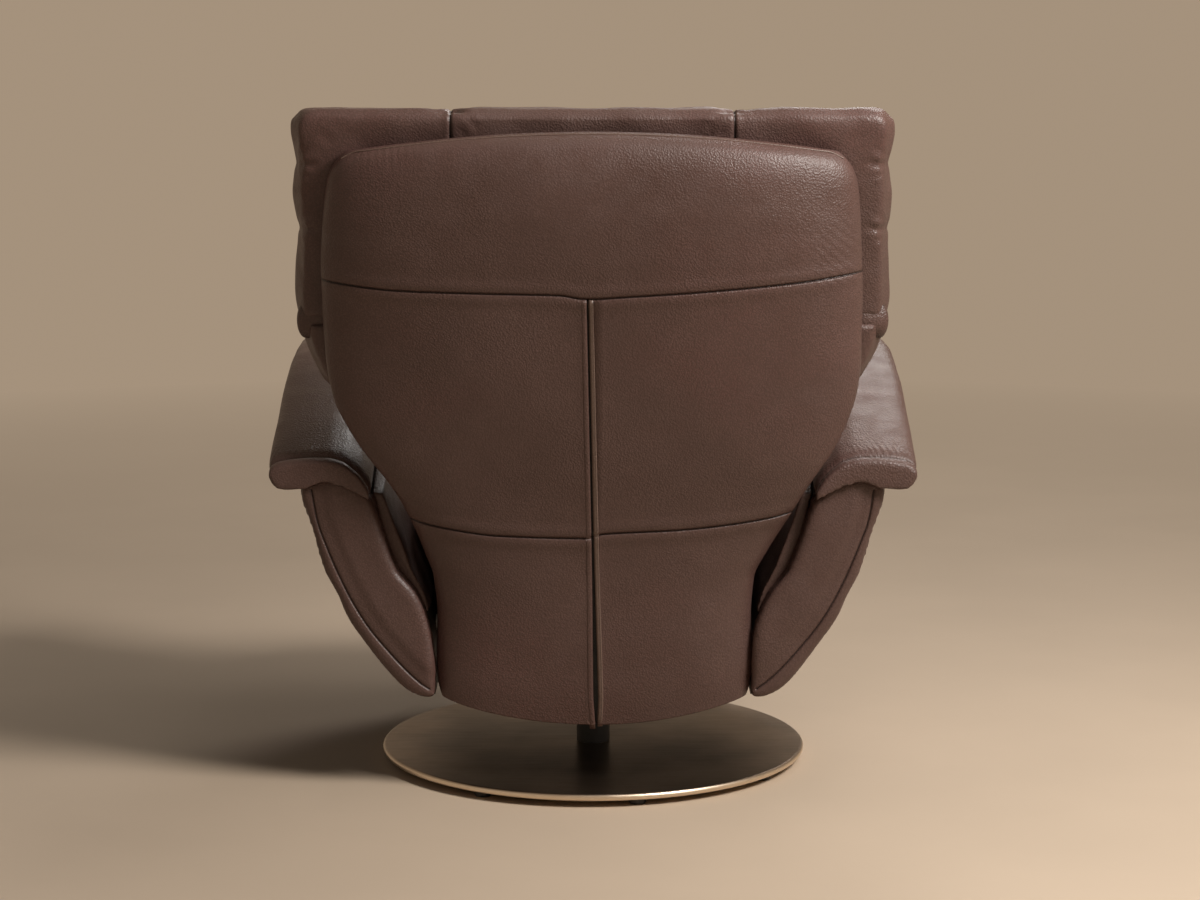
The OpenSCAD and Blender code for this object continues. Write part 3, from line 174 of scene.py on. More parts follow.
def from_segment(points: Array, start: Array, end: Array) -> tuple[Array, Array]:
    """Measure points from a segment.

    Args:
        points: Points as rows, in the plane or in space.
        start: The segment's start.
        end: The segment's end.

    Returns:
        Each point's distance, and how far along the segment it lies, from 0 to 1.
    """
    run = end - start
    along = np.clip((points - start) @ run / max(run @ run, 1e-12), 0, 1)
    return np.linalg.norm(points - (start + along[:, None] * run), axis=1), along


def smooth_table(rows: Rows, at: Array) -> Array:
    """Read a table of (place, value) rows along a curve that doesn't overshoot.

    Args:
        rows: The rows, in the order of their places.
        at: Places to read.

    Returns:
        The values at those places.
    """
    x, y = (np.array(column, float) for column in zip(*rows))
    step = np.diff(x)
    slope = np.diff(y) / step
    tangent = np.zeros_like(y)
    both = slope[1:] * slope[:-1] > 0
    middle = np.zeros(len(slope) - 1)
    middle[both] = 2 * slope[1:][both] * slope[:-1][both] / (slope[1:][both] + slope[:-1][both])
    tangent[1:-1] = middle
    tangent[0], tangent[-1] = slope[0], slope[-1]
    at = np.clip(at, x[0], x[-1])
    k = np.clip(np.searchsorted(x, at) - 1, 0, len(step) - 1)
    t = (at - x[k]) / step[k]
    return (
        (2 * t**3 - 3 * t**2 + 1) * y[k]
        + (t**3 - 2 * t**2 + t) * step[k] * tangent[k]
        + (3 * t**2 - 2 * t**3) * y[k + 1]
        + (t**3 - t**2) * step[k] * tangent[k + 1]
    )


def drift(points: Array, size: float, seed: float) -> Array:
    """Give a slow, even wander of height about 1, the same on every run.

    Args:
        points: Points as rows of x, y and z.
        size: Length of one wander.
        seed: Any number, which picks the wander.

    Returns:
        One height per point.
    """
    turns = np.array([[1.0, 0.31, 0.53], [-0.42, 0.9, 0.77], [0.37, -0.66, 1.1], [0.93, 0.2, -0.85]])
    phases = seed * np.array([1.7, 4.1, 2.9, 5.3])
    waves = np.sin(points @ turns.T * (2 * math.pi / size) + phases)
    return waves.sum(axis=1) / 2


def coords(piece: Piece, kind: str = "co") -> Array:
    """Read the mesh points of a piece, or their normals, as rows."""
    out = np.empty(len(piece.data.vertices) * 3, np.float32)
    piece.data.vertices.foreach_get(kind, out)
    return out.reshape(-1, 3).astype(float)


def normals(piece: Piece) -> Array:
    """Read the point normals of a piece as rows."""
    return coords(piece, "normal")


def set_coords(piece: Piece, points: Array) -> None:
    """Write the mesh points of a piece."""
    piece.data.vertices.foreach_set("co", points.astype(np.float32).ravel())
    piece.data.update()


def only(piece: Piece) -> None:
    """Select one piece alone and make it the active one."""
    bpy.ops.object.select_all(action="DESELECT")
    piece.select_set(True)
    bpy.context.view_layer.objects.active = piece


def apply_modifier(piece: Piece, kind: str, **settings: object) -> None:
    """Add a modifier to a piece, set it and apply it.

    Args:
        piece: The piece.
        kind: The modifier's type.
        **settings: Its settings.
    """
    only(piece)
    modifier = piece.modifiers.new(kind.lower(), kind)
    for name, value in settings.items():
        setattr(modifier, name, value)
    bpy.ops.object.modifier_apply(modifier=modifier.name)


def shade_smooth(piece: Piece) -> None:
    """Shade every face of a piece smoothly."""
    piece.data.polygons.foreach_set("use_smooth", np.ones(len(piece.data.polygons), bool))
    piece.data.update()


def placed(name: str, data: bpy.types.ID) -> Piece:
    """Give a new object with some data, linked into the scene."""
    thing = bpy.data.objects.new(name, data)
    bpy.context.scene.collection.objects.link(thing)
    return thing


@contextmanager
def edited(piece: Piece) -> Iterator[bmesh.types.BMesh]:
    """Open a piece's mesh for edits, and write it back."""
    mesh = bmesh.new()
    mesh.from_mesh(piece.data)
    yield mesh
    mesh.to_mesh(piece.data)
    mesh.free()
    piece.data.update()


def new_piece(name: str, points: Array, faces: list[Face]) -> Piece:
    """Make a closed piece from points and faces.

    Args:
        name: Name of the piece.
        points: Points as rows.
        faces: Faces as tuples of point numbers.

    Returns:
        The new object, at the origin, with its faces outwards.
    """
    mesh = bpy.data.meshes.new(name)
    mesh.from_pydata([tuple(p) for p in points], [], faces)
    mesh.update()
    piece = placed(name, mesh)
    outward(piece)
    return piece


def ring_faces(rings: int, count: int, base: int = 0) -> list[Face]:
    """Give the faces of a closed tube of rings, with both ends capped.

    Args:
        rings: How many rings.
        count: Points in a ring.
        base: Number of the first ring's first point.

    Returns:
        Faces as tuples of point numbers.
    """
    faces = []
    for j in range(rings - 1):
        low = base + j * count
        for i in range(count):
            a, b = low + i, low + (i + 1) % count
            faces.append((a, b, b + count, a + count))
    last = base + (rings - 1) * count
    faces.append(tuple(range(base + count - 1, base - 1, -1)))
    faces.append(tuple(range(last, last + count)))
    return faces


def outward(piece: Piece) -> None:
    """Merge a closed piece's doubles and turn its faces outwards."""
    with edited(piece) as mesh:
        bmesh.ops.remove_doubles(mesh, verts=mesh.verts, dist=1e-6)
        bmesh.ops.recalc_face_normals(mesh, faces=mesh.faces)


def mark_crevices(piece: Piece, depth: Array) -> None:
    """Store how deep in a seam or fold each point lies, from 0 to 1, for the leather's painted shade."""
    layer = piece.data.attributes.get(CREVICE) or piece.data.attributes.new(CREVICE, "FLOAT", "POINT")
    layer.data.foreach_set("value", np.clip(depth, 0, 1).astype(np.float32))


class Body(Enum):
    """The bodies of the frame that the pieces ride on."""

    SEAT = "seat"
    BACK = "back"
    HEAD = "head"
    LEGREST = "legrest"
    FLAP = "flap"


class Slot(Enum):
    """The record's material slots."""

    LEATHER = "leather"
    LEATHER_LIGHT = "leather_light"
    BRONZE = "bronze"
    DARK_STEEL = "dark_steel"
    STEEL = "steel"
    BLACK_PLASTIC = "black_plastic"
    PLYWOOD = "plywood"
    WEBBING = "webbing"


class Tree:
    """The nodes of a material or a world, with short ways to add and link them."""

    def __init__(self, owner: bpy.types.Material | bpy.types.World) -> None:
        """Take the owner's nodes."""
        owner.use_nodes = True
        self.tree = owner.node_tree

    def add(self, kind: str, **settings: object) -> bpy.types.Node:
        """Add a node and set its properties or sockets by name.

        Args:
            kind: The node's type.
            **settings: Properties, or sockets with underscores for spaces.

        Returns:
            The new node.
        """
        node = self.tree.nodes.new(kind)
        for name, value in settings.items():
            if hasattr(node, name):
                setattr(node, name, value)
                continue
            socket = next(s for s in node.inputs if s.name.replace(" ", "_") == name and s.enabled)
            self.feed(value, socket)
        return node

    def feed(self, value: object, socket: Socket) -> None:
        """Link an output to a socket, or set the socket's own value or colour."""
        if isinstance(value, Socket):
            self.tree.links.new(value, socket)
        else:
            socket.default_value = (*value, 1.0) if socket.type == "RGBA" else value

    def result(self, kind: str, *inputs: object, **settings: object) -> Socket:
        """Give the first output of a new node, fed with inputs in their order."""
        node = self.add(kind, **settings)
        for value, socket in zip(inputs, node.inputs):
            self.feed(value, socket)
        return node.outputs[0]


class Nodes(Tree):
    """The shader nodes of one new material."""

    def __init__(self, name: str) -> None:
        """Start a material with one principled shader."""
        self.material = bpy.data.materials.new(name)
        super().__init__(self.material)
        self.shader = self.tree.nodes["Principled BSDF"]
        self.place = self.add("ShaderNodeTexCoord").outputs["Object"]

    def scaled(self, scale: Point) -> Socket:
        """Give the piece's own coordinates, scaled along each axis."""
        return self.add("ShaderNodeMapping", Vector=self.place, Scale=scale).outputs["Vector"]

    def noise(self, scale: float, detail: float = 3.0, where: object = None) -> Socket:
        """Give a noise of a scale, in the piece's own coordinates."""
        place = where or self.place
        return self.add("ShaderNodeTexNoise", Vector=place, Scale=scale, Detail=detail).outputs["Fac"]

    def spread(self, value: object, low: float, high: float, to_low: float, to_high: float) -> Socket:
        """Map a value from one range to another, held at its ends."""
        return self.result("ShaderNodeMapRange", value, low, high, to_low, to_high, clamp=True)

    def blend(self, share: object, first: object, second: object) -> Socket:
        """Mix two colours by a share."""
        node = self.add("ShaderNodeMix", data_type="RGBA")
        self.feed(share, node.inputs["Factor"])
        colours = [s for s in node.inputs if s.type == "RGBA"]
        for socket, given in zip(colours, (first, second)):
            self.feed(given, socket)
        return next(s for s in node.outputs if s.type == "RGBA")

    def bump(self, height: object, distance: float, strength: float, below: object = None) -> Socket:
        """Give a bump normal from a height, on top of another bump if there is one."""
        node = self.add("ShaderNodeBump", Height=height, Distance=distance, Strength=strength)
        if below is not None:
            self.feed(below, node.inputs["Normal"])
        return node.outputs["Normal"]

    def close(self, colour: object, roughness: object, normal: object = None,
              **plain: float) -> bpy.types.Material:
        """Feed the shader and give the finished material.

        Args:
            colour: Base colour.
            roughness: Roughness.
            normal: Bump normal.
            **plain: Other sockets' own values, with underscores for spaces.

        Returns:
            The material.
        """
        self.feed(colour, self.shader.inputs["Base Color"])
        self.feed(roughness, self.shader.inputs["Roughness"])
        if normal is not None:
            self.feed(normal, self.shader.inputs["Normal"])
        for name, value in plain.items():
            self.shader.inputs[name.replace("_", " ")].default_value = value
        return self.material


@dataclass(frozen=True)
class Leather:
    """Pebbled, semi-matt leather with painted shade in its seams and folds."""

    name: str
    colour: Colour
    shade: Colour
    lit: Colour
    flush: Colour
    pebbles_per_metre: float = 360.0
    fine_pebbles: float = 2.3
    grain: float = 0.62
    bend: float = 0.0035
    seam_shade: float = 0.12
    broad_scale: float = 3.6
    patch_scale: float = 24.0
    blush_scale: float = 2.3

    def material(self) -> bpy.types.Material:
        """Build the leather's material."""
        n = Nodes(self.name)
        wander = n.add("ShaderNodeTexNoise", Vector=n.place, Scale=90.0, Detail=2.0).outputs["Color"]
        place = n.result("ShaderNodeVectorMath", wander, (self.bend,) * 3, n.place,
                         operation="MULTIPLY_ADD")
        cells = n.add("ShaderNodeTexVoronoi", feature="SMOOTH_F1", Vector=place,
                      Scale=self.pebbles_per_metre, Smoothness=0.3).outputs["Distance"]
        fine = n.add("ShaderNodeTexVoronoi", feature="F1", Vector=place,
                     Scale=self.pebbles_per_metre * self.fine_pebbles).outputs["Distance"]
        broad = n.noise(self.broad_scale, 4.0)
        patchy = n.noise(self.patch_scale, 3.0)
        blush = n.noise(self.blush_scale, 3.0, n.scaled((1.0, 1.0, 1.4)))
        depth = n.add("ShaderNodeAttribute", attribute_name=CREVICE).outputs["Fac"]
        tint = n.blend(n.spread(broad, 0.34, 0.70, 0.15, 0.75), self.colour, self.shade)
        # Painted shade: seams, folds and the slit darken towards this colour by the crevice attribute.
        dark = tuple(c * self.seam_shade for c in self.shade)
        for value, low, high, most, colour in (
            (blush, 0.48, 0.70, 0.7, self.flush),
            (patchy, 0.45, 0.72, 0.22, self.lit),
            # Painted shade in the creases between the pebbles.
            (cells, 0.22, 0.60, 0.7, self.shade),
            # Painted shade in seams, folds and the slit, by the crevice attribute.
            (depth, 0.1, 1.0, 0.93, dark),
        ):
            tint = n.blend(n.spread(value, low, high, 0.0, most), tint, colour)
        rough = n.spread(n.noise(30.0, 2.0), 0.3, 0.7, 0.38, 0.52)
        coarse = n.spread(n.noise(5.5, 3.0), 0.36, 0.62, 0.45, 0.9)
        pebbles = n.result("ShaderNodeMath", cells, coarse, operation="MULTIPLY")
        relief = n.bump(pebbles, 0.0012, self.grain)
        relief = n.bump(fine, 0.0004, self.grain * 0.5, relief)
        relief = n.bump(patchy, 0.0014, 0.2, relief)
        return n.close(tint, rough, relief, Specular_IOR_Level=0.46)


@dataclass(frozen=True)
class Bronze:
    """Brushed antique bronze with a mottled patina and a painted highlight on its rim."""

    name: str = "antique_bronze"
    colour: Colour = (0.235, 0.175, 0.128)
    patina: Colour = (0.115, 0.082, 0.058)
    painted_rim_highlight: Colour = (0.78, 0.66, 0.52)

    def material(self) -> bpy.types.Material:
        """Build the bronze's material."""
        n = Nodes(self.name)
        brushed = n.noise(1.0, 4.0, n.scaled((14.0, 900.0, 30.0)))
        mottled = n.noise(7.0, 5.0)
        level = n.add("ShaderNodeSeparateXYZ", Vector=n.tree.nodes["Texture Coordinate"].outputs["Normal"])
        # Painted highlight: where the normal leaves the vertical, the rim blends to a bright colour.
        rim = n.spread(level.outputs["Z"], 0.35, 0.98, 1.0, 0.0)
        tint = n.blend(n.spread(mottled, 0.34, 0.62, 0.0, 1.0), self.colour, self.patina)
        tint = n.blend(rim, tint, self.painted_rim_highlight)
        rough = n.spread(brushed, 0.3, 0.7, 0.28, 0.42)
        return n.close(tint, rough, n.bump(brushed, 0.0002, 0.12), Metallic=1.0)


@dataclass(frozen=True)
class Coating:
    """A powder coat, plating or moulded plastic: one colour with a fine skin."""

    name: str
    colour: Colour
    wear: Colour
    rough_low: float
    rough_high: float
    metal: float = 0.0
    skin_scale: float = 900.0
    skin: float = 0.15

    def material(self) -> bpy.types.Material:
        """Build the coating's material."""
        n = Nodes(self.name)
        broad = n.noise(28.0, 4.0)
        tint = n.blend(n.spread(broad, 0.42, 0.74, 0.0, 1.0), self.colour, self.wear)
        rough = n.spread(n.noise(60.0, 2.0), 0.3, 0.7, self.rough_low, self.rough_high)
        relief = n.bump(n.noise(self.skin_scale, 2.0), 0.0002, self.skin)
        return n.close(tint, rough, relief, Metallic=self.metal)


@dataclass(frozen=True)
class Plywood:
    """Birch plywood with a drawn grain and thin layers."""

    name: str = "birch_plywood"
    colour: Colour = (0.52, 0.36, 0.20)
    dark: Colour = (0.30, 0.18, 0.09)

    def material(self) -> bpy.types.Material:
        """Build the plywood's material."""
        n = Nodes(self.name)
        grain = n.noise(1.0, 5.0, n.scaled((60.0, 60.0, 5.0)))
        layers = n.add("ShaderNodeTexWave", Vector=n.place, Scale=110.0, Distortion=0.6).outputs["Fac"]
        tint = n.blend(n.spread(grain, 0.35, 0.7, 0.0, 1.0), self.colour, self.dark)
        tint = n.blend(n.spread(layers, 0.4, 0.9, 0.0, 0.25), tint, self.dark)
        return n.close(tint, 0.62, n.bump(grain, 0.0005, 0.2))


@dataclass(frozen=True)
class Webbing:
    """Woven elastic webbing."""

    name: str = "elastic_webbing"
    colour: Colour = (0.035, 0.033, 0.031)
    thread: Colour = (0.10, 0.095, 0.09)
    threads: float = 120.0

    def material(self) -> bpy.types.Material:
        """Build the webbing's material."""
        n = Nodes(self.name)
        threads = [n.add("ShaderNodeTexWave", bands_direction=axis, Vector=n.place,
                         Scale=self.threads).outputs["Fac"] for axis in "XY"]
        weave = n.result("ShaderNodeMath", *threads, operation="MULTIPLY")
        tint = n.blend(n.spread(weave, 0.2, 0.8, 0.0, 1.0), self.colour, self.thread)
        return n.close(tint, 0.85, n.bump(weave, 0.0006, 0.5))


class Finishes:
    """All finishes of the chair, one material for each slot."""

    def __init__(self) -> None:
        """Build every material once."""
        brown = Leather("brown_leather", colour=(0.105, 0.058, 0.048), shade=(0.068, 0.036, 0.029),
                        lit=(0.150, 0.090, 0.076), flush=(0.118, 0.050, 0.043))
        edge = Leather("leather_edge", colour=(0.160, 0.105, 0.082), shade=(0.105, 0.066, 0.050),
                       lit=(0.205, 0.145, 0.115), flush=(0.150, 0.088, 0.070), grain=0.35)
        black = Coating("black_powder_coat", (0.018, 0.018, 0.019), (0.032, 0.031, 0.031), 0.42, 0.56)
        zinc = Coating("zinc_plate", (0.50, 0.50, 0.51), (0.38, 0.38, 0.40), 0.30, 0.46, metal=1.0)
        plastic = Coating("black_plastic", (0.012, 0.012, 0.013), (0.02, 0.02, 0.021), 0.48, 0.6)
        stained = Plywood("stained_plywood", (0.040, 0.026, 0.019), (0.022, 0.014, 0.010))
        made = {
            Slot.LEATHER: brown,
            Slot.LEATHER_LIGHT: edge,
            Slot.BRONZE: Bronze(),
            Slot.DARK_STEEL: black,
            Slot.STEEL: zinc,
            Slot.BLACK_PLASTIC: plastic,
            Slot.PLYWOOD: Plywood(),
            Slot.WEBBING: Webbing(),
        }
        self.by_slot = {slot: finish.material() for slot, finish in made.items()}
        self.stained_wood = stained.material()

    def dress(self, piece: Piece, slot: Slot) -> Piece:
        """Give a piece the finish of one slot.

        Args:
            piece: The piece.
            slot: The slot whose finish it takes.

        Returns:
            The piece.
        """
        piece.data.materials.clear()
        piece.data.materials.append(self.by_slot[slot])
        return piece

    def sew_on(self, piece: Piece, slot: Slot = Slot.LEATHER_LIGHT, body: Body = Body.BACK) -> Piece:
        """Smooth and dress a leather piece, and let it ride its body."""
        shade_smooth(piece)
        self.dress(piece, slot)
        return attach(piece, body.value)


@dataclass(frozen=True)
class Seam:
    """A sewn line where a plane cuts a padded piece."""

    point: Point
    normal: Point
    low: Point = (-2.0, -2.0, -2.0)
    high: Point = (2.0, 2.0, 2.0)
    pull: float = 0.006
    reach: float = 0.026
    depth: float = 0.0026
    width: float = 0.0019
    fade: float = 0.02

    def distance(self, points: Array) -> Array:
        """Give each point's distance from the seam's plane, with its sign."""
        return (points - np.array(self.point)) @ (np.array(self.normal) / np.linalg.norm(self.normal))

    def share(self, points: Array) -> Array:
        """Give 1 where the seam runs and 0 outside its box, with soft ends."""
        inside = np.ones(len(points))
        for axis in range(3):
            inside *= ramp(points[:, axis], self.low[axis] - self.fade, self.low[axis])
            inside *= 1 - ramp(points[:, axis], self.high[axis], self.high[axis] + self.fade)
        return inside


@dataclass(frozen=True)
class SeamPath:
    """A sewn line that follows points over a padded piece, on the side that faces one way."""

    points: tuple[Point, ...]
    facing: Point
    depth: float = 0.0022
    width: float = 0.0016
    swell: float = 0.0012
    swell_at: float = 0.007
    swell_width: float = 0.006

    def distance(self, places: Array) -> Array:
        """Give each place's distance from the line, seen from the side it faces."""
        axis = int(np.argmax(np.abs(self.facing)))
        keep = [k for k in range(3) if k != axis]
        flat = places[:, keep]
        line = np.array(self.points)[:, keep]
        away = np.full(len(places), 1.0)
        for start, end in zip(line[:-1], line[1:]):
            away = np.minimum(away, from_segment(flat, start, end)[0])
        return away

    def seen(self, facing: Array) -> Array:
        """Give 1 where the skin faces the line's side."""
        return ramp(facing @ np.array(self.facing), 0.15, 0.35)


@dataclass(frozen=True)
class Crease:
    """A fold in the leather that runs from one point to another and fades out."""

    start: Point
    end: Point
    depth: float = 0.002
    width: float = 0.005

    def fold(self, points: Array) -> Array:
        """Give each point's height by the crease, which presses it in and lifts it beside."""
        away, along = from_segment(points, np.array(self.start), np.array(self.end))
        taper = np.sqrt(1 - along)
        ridge = bell(away, self.width) - 0.45 * bell(away - 1.9 * self.width, self.width)
        return -self.depth * taper * ridge


@dataclass
class Padding:
    """How one padded piece is made from its node."""

    node: str
    body: Body
    fill: float
    voxel: float = 0.006
    soften: int = 3
    shrink: float = 0.008
    cap: float = 0.010
    slack: float = 0.003
    swollen: bool = True
    pressure: float = 4.0
    frames: int = 20
    seams: tuple[Seam, ...] = ()
    paths: tuple[SeamPath, ...] = ()
    creases: tuple[Crease, ...] = ()
    held: Field | None = None
    relief: Field | None = None
    fairing: Callable[[Array], Array] | None = None
    subdivided: bool = True


@dataclass
class Upholstery:
    """Makes padded leather pieces from the frame's soft nodes."""

    frame: dict
    finishes: Finishes

    def skin(self, padding: Padding) -> Piece:
        """Copy a node into a new piece with an even, softened skin."""
        source = self.frame["nodes"][padding.node]
        piece = placed(padding.node + "_leather", source.data.copy())
        piece.data.materials.clear()
        outward(piece)
        apply_modifier(piece, "REMESH", mode="VOXEL", voxel_size=padding.voxel)
        for _ in range(padding.soften):
            for factor in (ROUND_IN, ROUND_OUT):
                apply_modifier(piece, "SMOOTH", factor=factor, iterations=2)
        apply_modifier(piece, "SMOOTH", factor=ROUND_IN, iterations=3)
        if padding.fairing:
            set_coords(piece, padding.fairing(coords(piece)))
        return piece

    def pull(self, padding: Padding, points: Array) -> Array:
        """Give how strongly the seams hold each point, from 0 to 1."""
        hold = np.zeros(len(points))
        for seam in padding.seams:
            hold = np.maximum(hold, bell(seam.distance(points), seam.reach) * seam.share(points)
                              * min(1.0, seam.pull / padding.shrink))
        return hold

    def swell(self, piece: Piece, padding: Padding) -> None:
        """Shrink a piece a little, let it swell between its seams, and cap the swelling."""
        start = coords(piece)
        facing = normals(piece)
        kept = padding.held(start, facing) if padding.held else np.zeros(len(start))
        small = start - facing * (padding.shrink * (1 - kept))[:, None]
        set_coords(piece, small)
        hold = self.pull(padding, start)
        if not padding.swollen:
            set_coords(piece, small + (start - small) * (1 - hold)[:, None])
            return
        self.simulate(piece, padding, np.clip(np.maximum(kept, ramp(hold, *STAYS)), 0, 1))
        moved = coords(piece) - start
        out = (moved * facing).sum(axis=1)
        along = moved - out[:, None] * facing
        drift_limit = SLIDE / np.maximum(np.linalg.norm(along, axis=1), SLIDE)
        lowest = -(padding.slack + padding.shrink * hold) * (1 - kept)
        highest = np.maximum((padding.cap - padding.shrink) * (1 - hold) * (1 - kept), lowest)
        out = np.clip(out, lowest, highest)
        set_coords(piece, start + out[:, None] * facing + along * drift_limit[:, None])
        piece.vertex_groups.clear()
        apply_modifier(piece, "SMOOTH", factor=ROUND_IN, iterations=2)

    def simulate(self, piece: Piece, padding: Padding, weights: Array) -> None:
        """Run the cloth that swells a piece, and apply where it ends.

        Args:
            piece: The piece, already shrunk.
            padding: How it is made.
            weights: How firmly each point is held, from 0 to 1.
        """
        group = piece.vertex_groups.new(name="held")
        levels = np.round(weights, 1)
        for level in np.unique(levels):
            group.add(np.nonzero(levels == level)[0].tolist(), float(level), "REPLACE")
        only(piece)
        cloth = piece.modifiers.new("swell", "CLOTH")
        for name, value in LEATHER_CLOTH.items():
            setattr(cloth.settings, name, value)
        cloth.settings.uniform_pressure_force = padding.pressure
        cloth.settings.effector_weights.gravity = 0
        cloth.settings.vertex_group_mass = "held"
        cloth.collision_settings.use_collision = False
        for step in range(1, padding.frames + 1):
            bpy.context.scene.frame_set(step)
        bpy.ops.object.modifier_apply(modifier=cloth.name)
        bpy.context.scene.frame_set(1)

    def sew(self, piece: Piece, padding: Padding) -> None:
        """Cut loops along the seams and press the seams, creases and relief into the piece."""
        for seam in padding.seams:
            self.cut(piece, seam, [loop * seam.width for loop in SEAM_LOOPS])
        for path in padding.paths:
            self.refine(piece, path)
        points, facing = coords(piece), normals(piece)
        depth = np.zeros(len(points))
        # Painted shade along the seams, the seam lines and the creases, read by the leather.
        crevice = np.zeros(len(points))
        for path in padding.paths:
            away, seen = path.distance(points), path.seen(facing)
            beside = bell(away - path.swell_at, path.swell_width)
            depth += (path.swell * beside - path.depth * bell(away, path.width)) * seen
            crevice = np.maximum(crevice, bell(away, path.width * PATH_DARK) * seen)
        for seam in padding.seams:
            away = seam.distance(points)
            share = seam.share(points)
            depth -= seam.depth * bell(away, seam.width) * share
            crevice = np.maximum(crevice, bell(away, seam.width * SEAM_DARK) * share)
        for crease in padding.creases:
            fold = crease.fold(points)
            depth += fold
            crevice = np.maximum(crevice, np.clip(-fold / CREASE_FULL, 0, CREASE_DARK))
        if padding.relief:
            depth += padding.relief(points, facing)
        set_coords(piece, points + facing * depth[:, None])
        mark_crevices(piece, crevice)

    def refine(self, piece: Piece, path: SeamPath) -> None:
        """Split the faces along a seam's line twice, so that the seam is sharp."""
        for reach in SPLIT_REACHES:
            with edited(piece) as mesh:
                middles = np.array([tuple((e.verts[0].co + e.verts[1].co) / 2) for e in mesh.edges])
                facing = np.array([tuple(e.verts[0].normal) for e in mesh.edges])
                near = (path.distance(middles) < reach) & (path.seen(facing) > 0)
                edges = [e for e, chosen in zip(mesh.edges, near) if chosen]
                bmesh.ops.subdivide_edges(mesh, edges=edges, cuts=1, use_grid_fill=True)

    def cut(self, piece: Piece, seam: Seam, offsets: list[float]) -> None:
        """Add edge loops to a piece, side by side along a seam."""
        middles = np.empty(len(piece.data.polygons) * 3, np.float32)
        piece.data.polygons.foreach_get("center", middles)
        middles = middles.reshape(-1, 3)
        near = np.abs(seam.distance(middles)) < CUT_REACH
        near &= np.all(middles >= np.array(seam.low) - seam.fade, axis=1)
        near &= np.all(middles <= np.array(seam.high) + seam.fade, axis=1)
        normal = Vector(seam.normal).normalized()
        with edited(piece) as mesh:
            mesh.faces.ensure_lookup_table()
            faces = [mesh.faces[k] for k in np.nonzero(near)[0]]
            edges = list({e for f in faces for e in f.edges})
            geometry = faces + edges + list({v for f in faces for v in f.verts})
            for offset in offsets:
                place = Vector(seam.point) + normal * offset
                geometry = bmesh.ops.bisect_plane(mesh, geom=geometry, dist=1e-5, plane_co=place,
                                                  plane_no=normal)["geom"]

    def make(self, padding: Padding) -> Piece:
        """Make one padded piece, from the node's copy to the finished piece.

        Args:
            padding: How it is made.

        Returns:
            The finished piece.
        """
        piece = self.skin(padding)
        self.swell(piece, padding)
        if padding.subdivided:
            apply_modifier(piece, "SUBSURF", levels=1, render_levels=1)
        self.sew(piece, padding)
        return self.declare(piece, padding)

    def declare(self, piece: Piece, padding: Padding) -> Piece:
        """Dress a padded piece, let it ride and replace its node."""
        self.finishes.sew_on(piece, Slot.LEATHER, padding.body)
        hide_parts(padding.node)
        LOG.info("%s: %d faces", piece.name, len(piece.data.polygons))
        return piece


def panel_seams(**settings: object) -> tuple[Seam, ...]:
    """Give the two long seams between the cushions' three panels."""
    return tuple(Seam((side * PANEL_SEAM_X, 0, 0), (1, 0, 0), **settings) for side in (-1, 1))


def rear_face(points: Array, facing: Array) -> Array:
    """Hold the flat rear face of a cushion on the back."""
    return ramp(facing[:, 1], 0.72, 0.9) * ramp(points[:, 1] - back_plane(points[:, 2]), -0.02, -0.008)


def underside(points: Array, facing: Array) -> Array:
    """Hold the flat underside of a cushion."""
    return ramp(-facing[:, 2], 0.7, 0.9)


@dataclass
class HeadCushion:
    """The wide head cushion: three panels, drawn-in sides and pulled top corners."""

    shop: Upholstery
    half_width: float = 0.432
    top: float = 1.008
    notch_heights: tuple[float, float] = (0.924, 0.832)
    notch_depth: float = 0.0008
    notch_width: float = 0.0055

    # Folds from a side pull, as (rise, reach, depth), and from a seam's top, as (run, drop, depth)
    pull_folds: Rows = ((0.004, 0.050, 0.0026), (-0.020, 0.040, 0.0018), (0.028, 0.036, 0.0014))
    seam_folds: Rows = ((-0.040, -0.030, 0.0034), (-0.022, -0.040, 0.0022), (0.018, -0.028, 0.0016))
    pull_fold_width: float = 0.005
    seam_fold_width: float = 0.006
    border_height: float = 0.85
    border_depth: float = 0.088

    def creases(self) -> tuple[Crease, ...]:
        """Give the folds beside the panel seams and around the side pulls."""
        out = []
        for side in (-1, 1):
            edge, seam = side * self.half_width, side * PANEL_SEAM_X
            for height in self.notch_heights:
                rear = rear_at(height)
                for rise, reach, depth in self.pull_folds:
                    end = (edge - side * reach, rear + 0.002, height + rise)
                    out.append(Crease((edge, rear - 0.03, height), end, depth, self.pull_fold_width))
            rear = rear_at(self.top)
            for run, drop, depth in self.seam_folds:
                start = (seam, rear - 0.03, self.top - 0.001)
                end = (seam + side * run, rear - 0.006, self.top + drop)
                out.append(Crease(start, end, depth, self.seam_fold_width))
            corner = (side * (self.half_width - 0.012), rear - 0.05, self.top - 0.012)
            end = (side * (self.half_width - 0.07), rear - 0.01, self.top - 0.05)
            out.append(Crease(corner, end, 0.0018, 0.007))
        return tuple(out)

    def relief(self, points: Array, facing: Array) -> Array:
        """Draw the sides in at the pulls and let the leather wander."""
        side = ramp(np.abs(points[:, 0]), self.half_width - 0.045, self.half_width - 0.010)
        pulls = sum(bell(points[:, 2] - height, self.notch_width) for height in self.notch_heights)
        wander = 0.0011 * drift(points, 0.11, 1.0) + 0.00015 * drift(points, 0.045, 2.0)
        return wander - self.notch_depth * side * pulls

    def build(self) -> Piece:
        """Build the cushion."""
        seams = panel_seams(pull=0.006, reach=0.022, depth=0.0028, width=0.0020)
        front = rear_at(self.border_height) - self.border_depth
        border = Seam((0, front, self.border_height), BACK_NORMAL, pull=0.004, reach=0.016)
        return self.shop.make(Padding(
            "head_cushion", Body.HEAD, 0.75, seams=(*seams, border), creases=self.creases(),
            held=lambda points, facing: np.maximum(rear_face(points, facing), underside(points, facing)),
            relief=self.relief, shrink=0.008, cap=0.009,
        ))


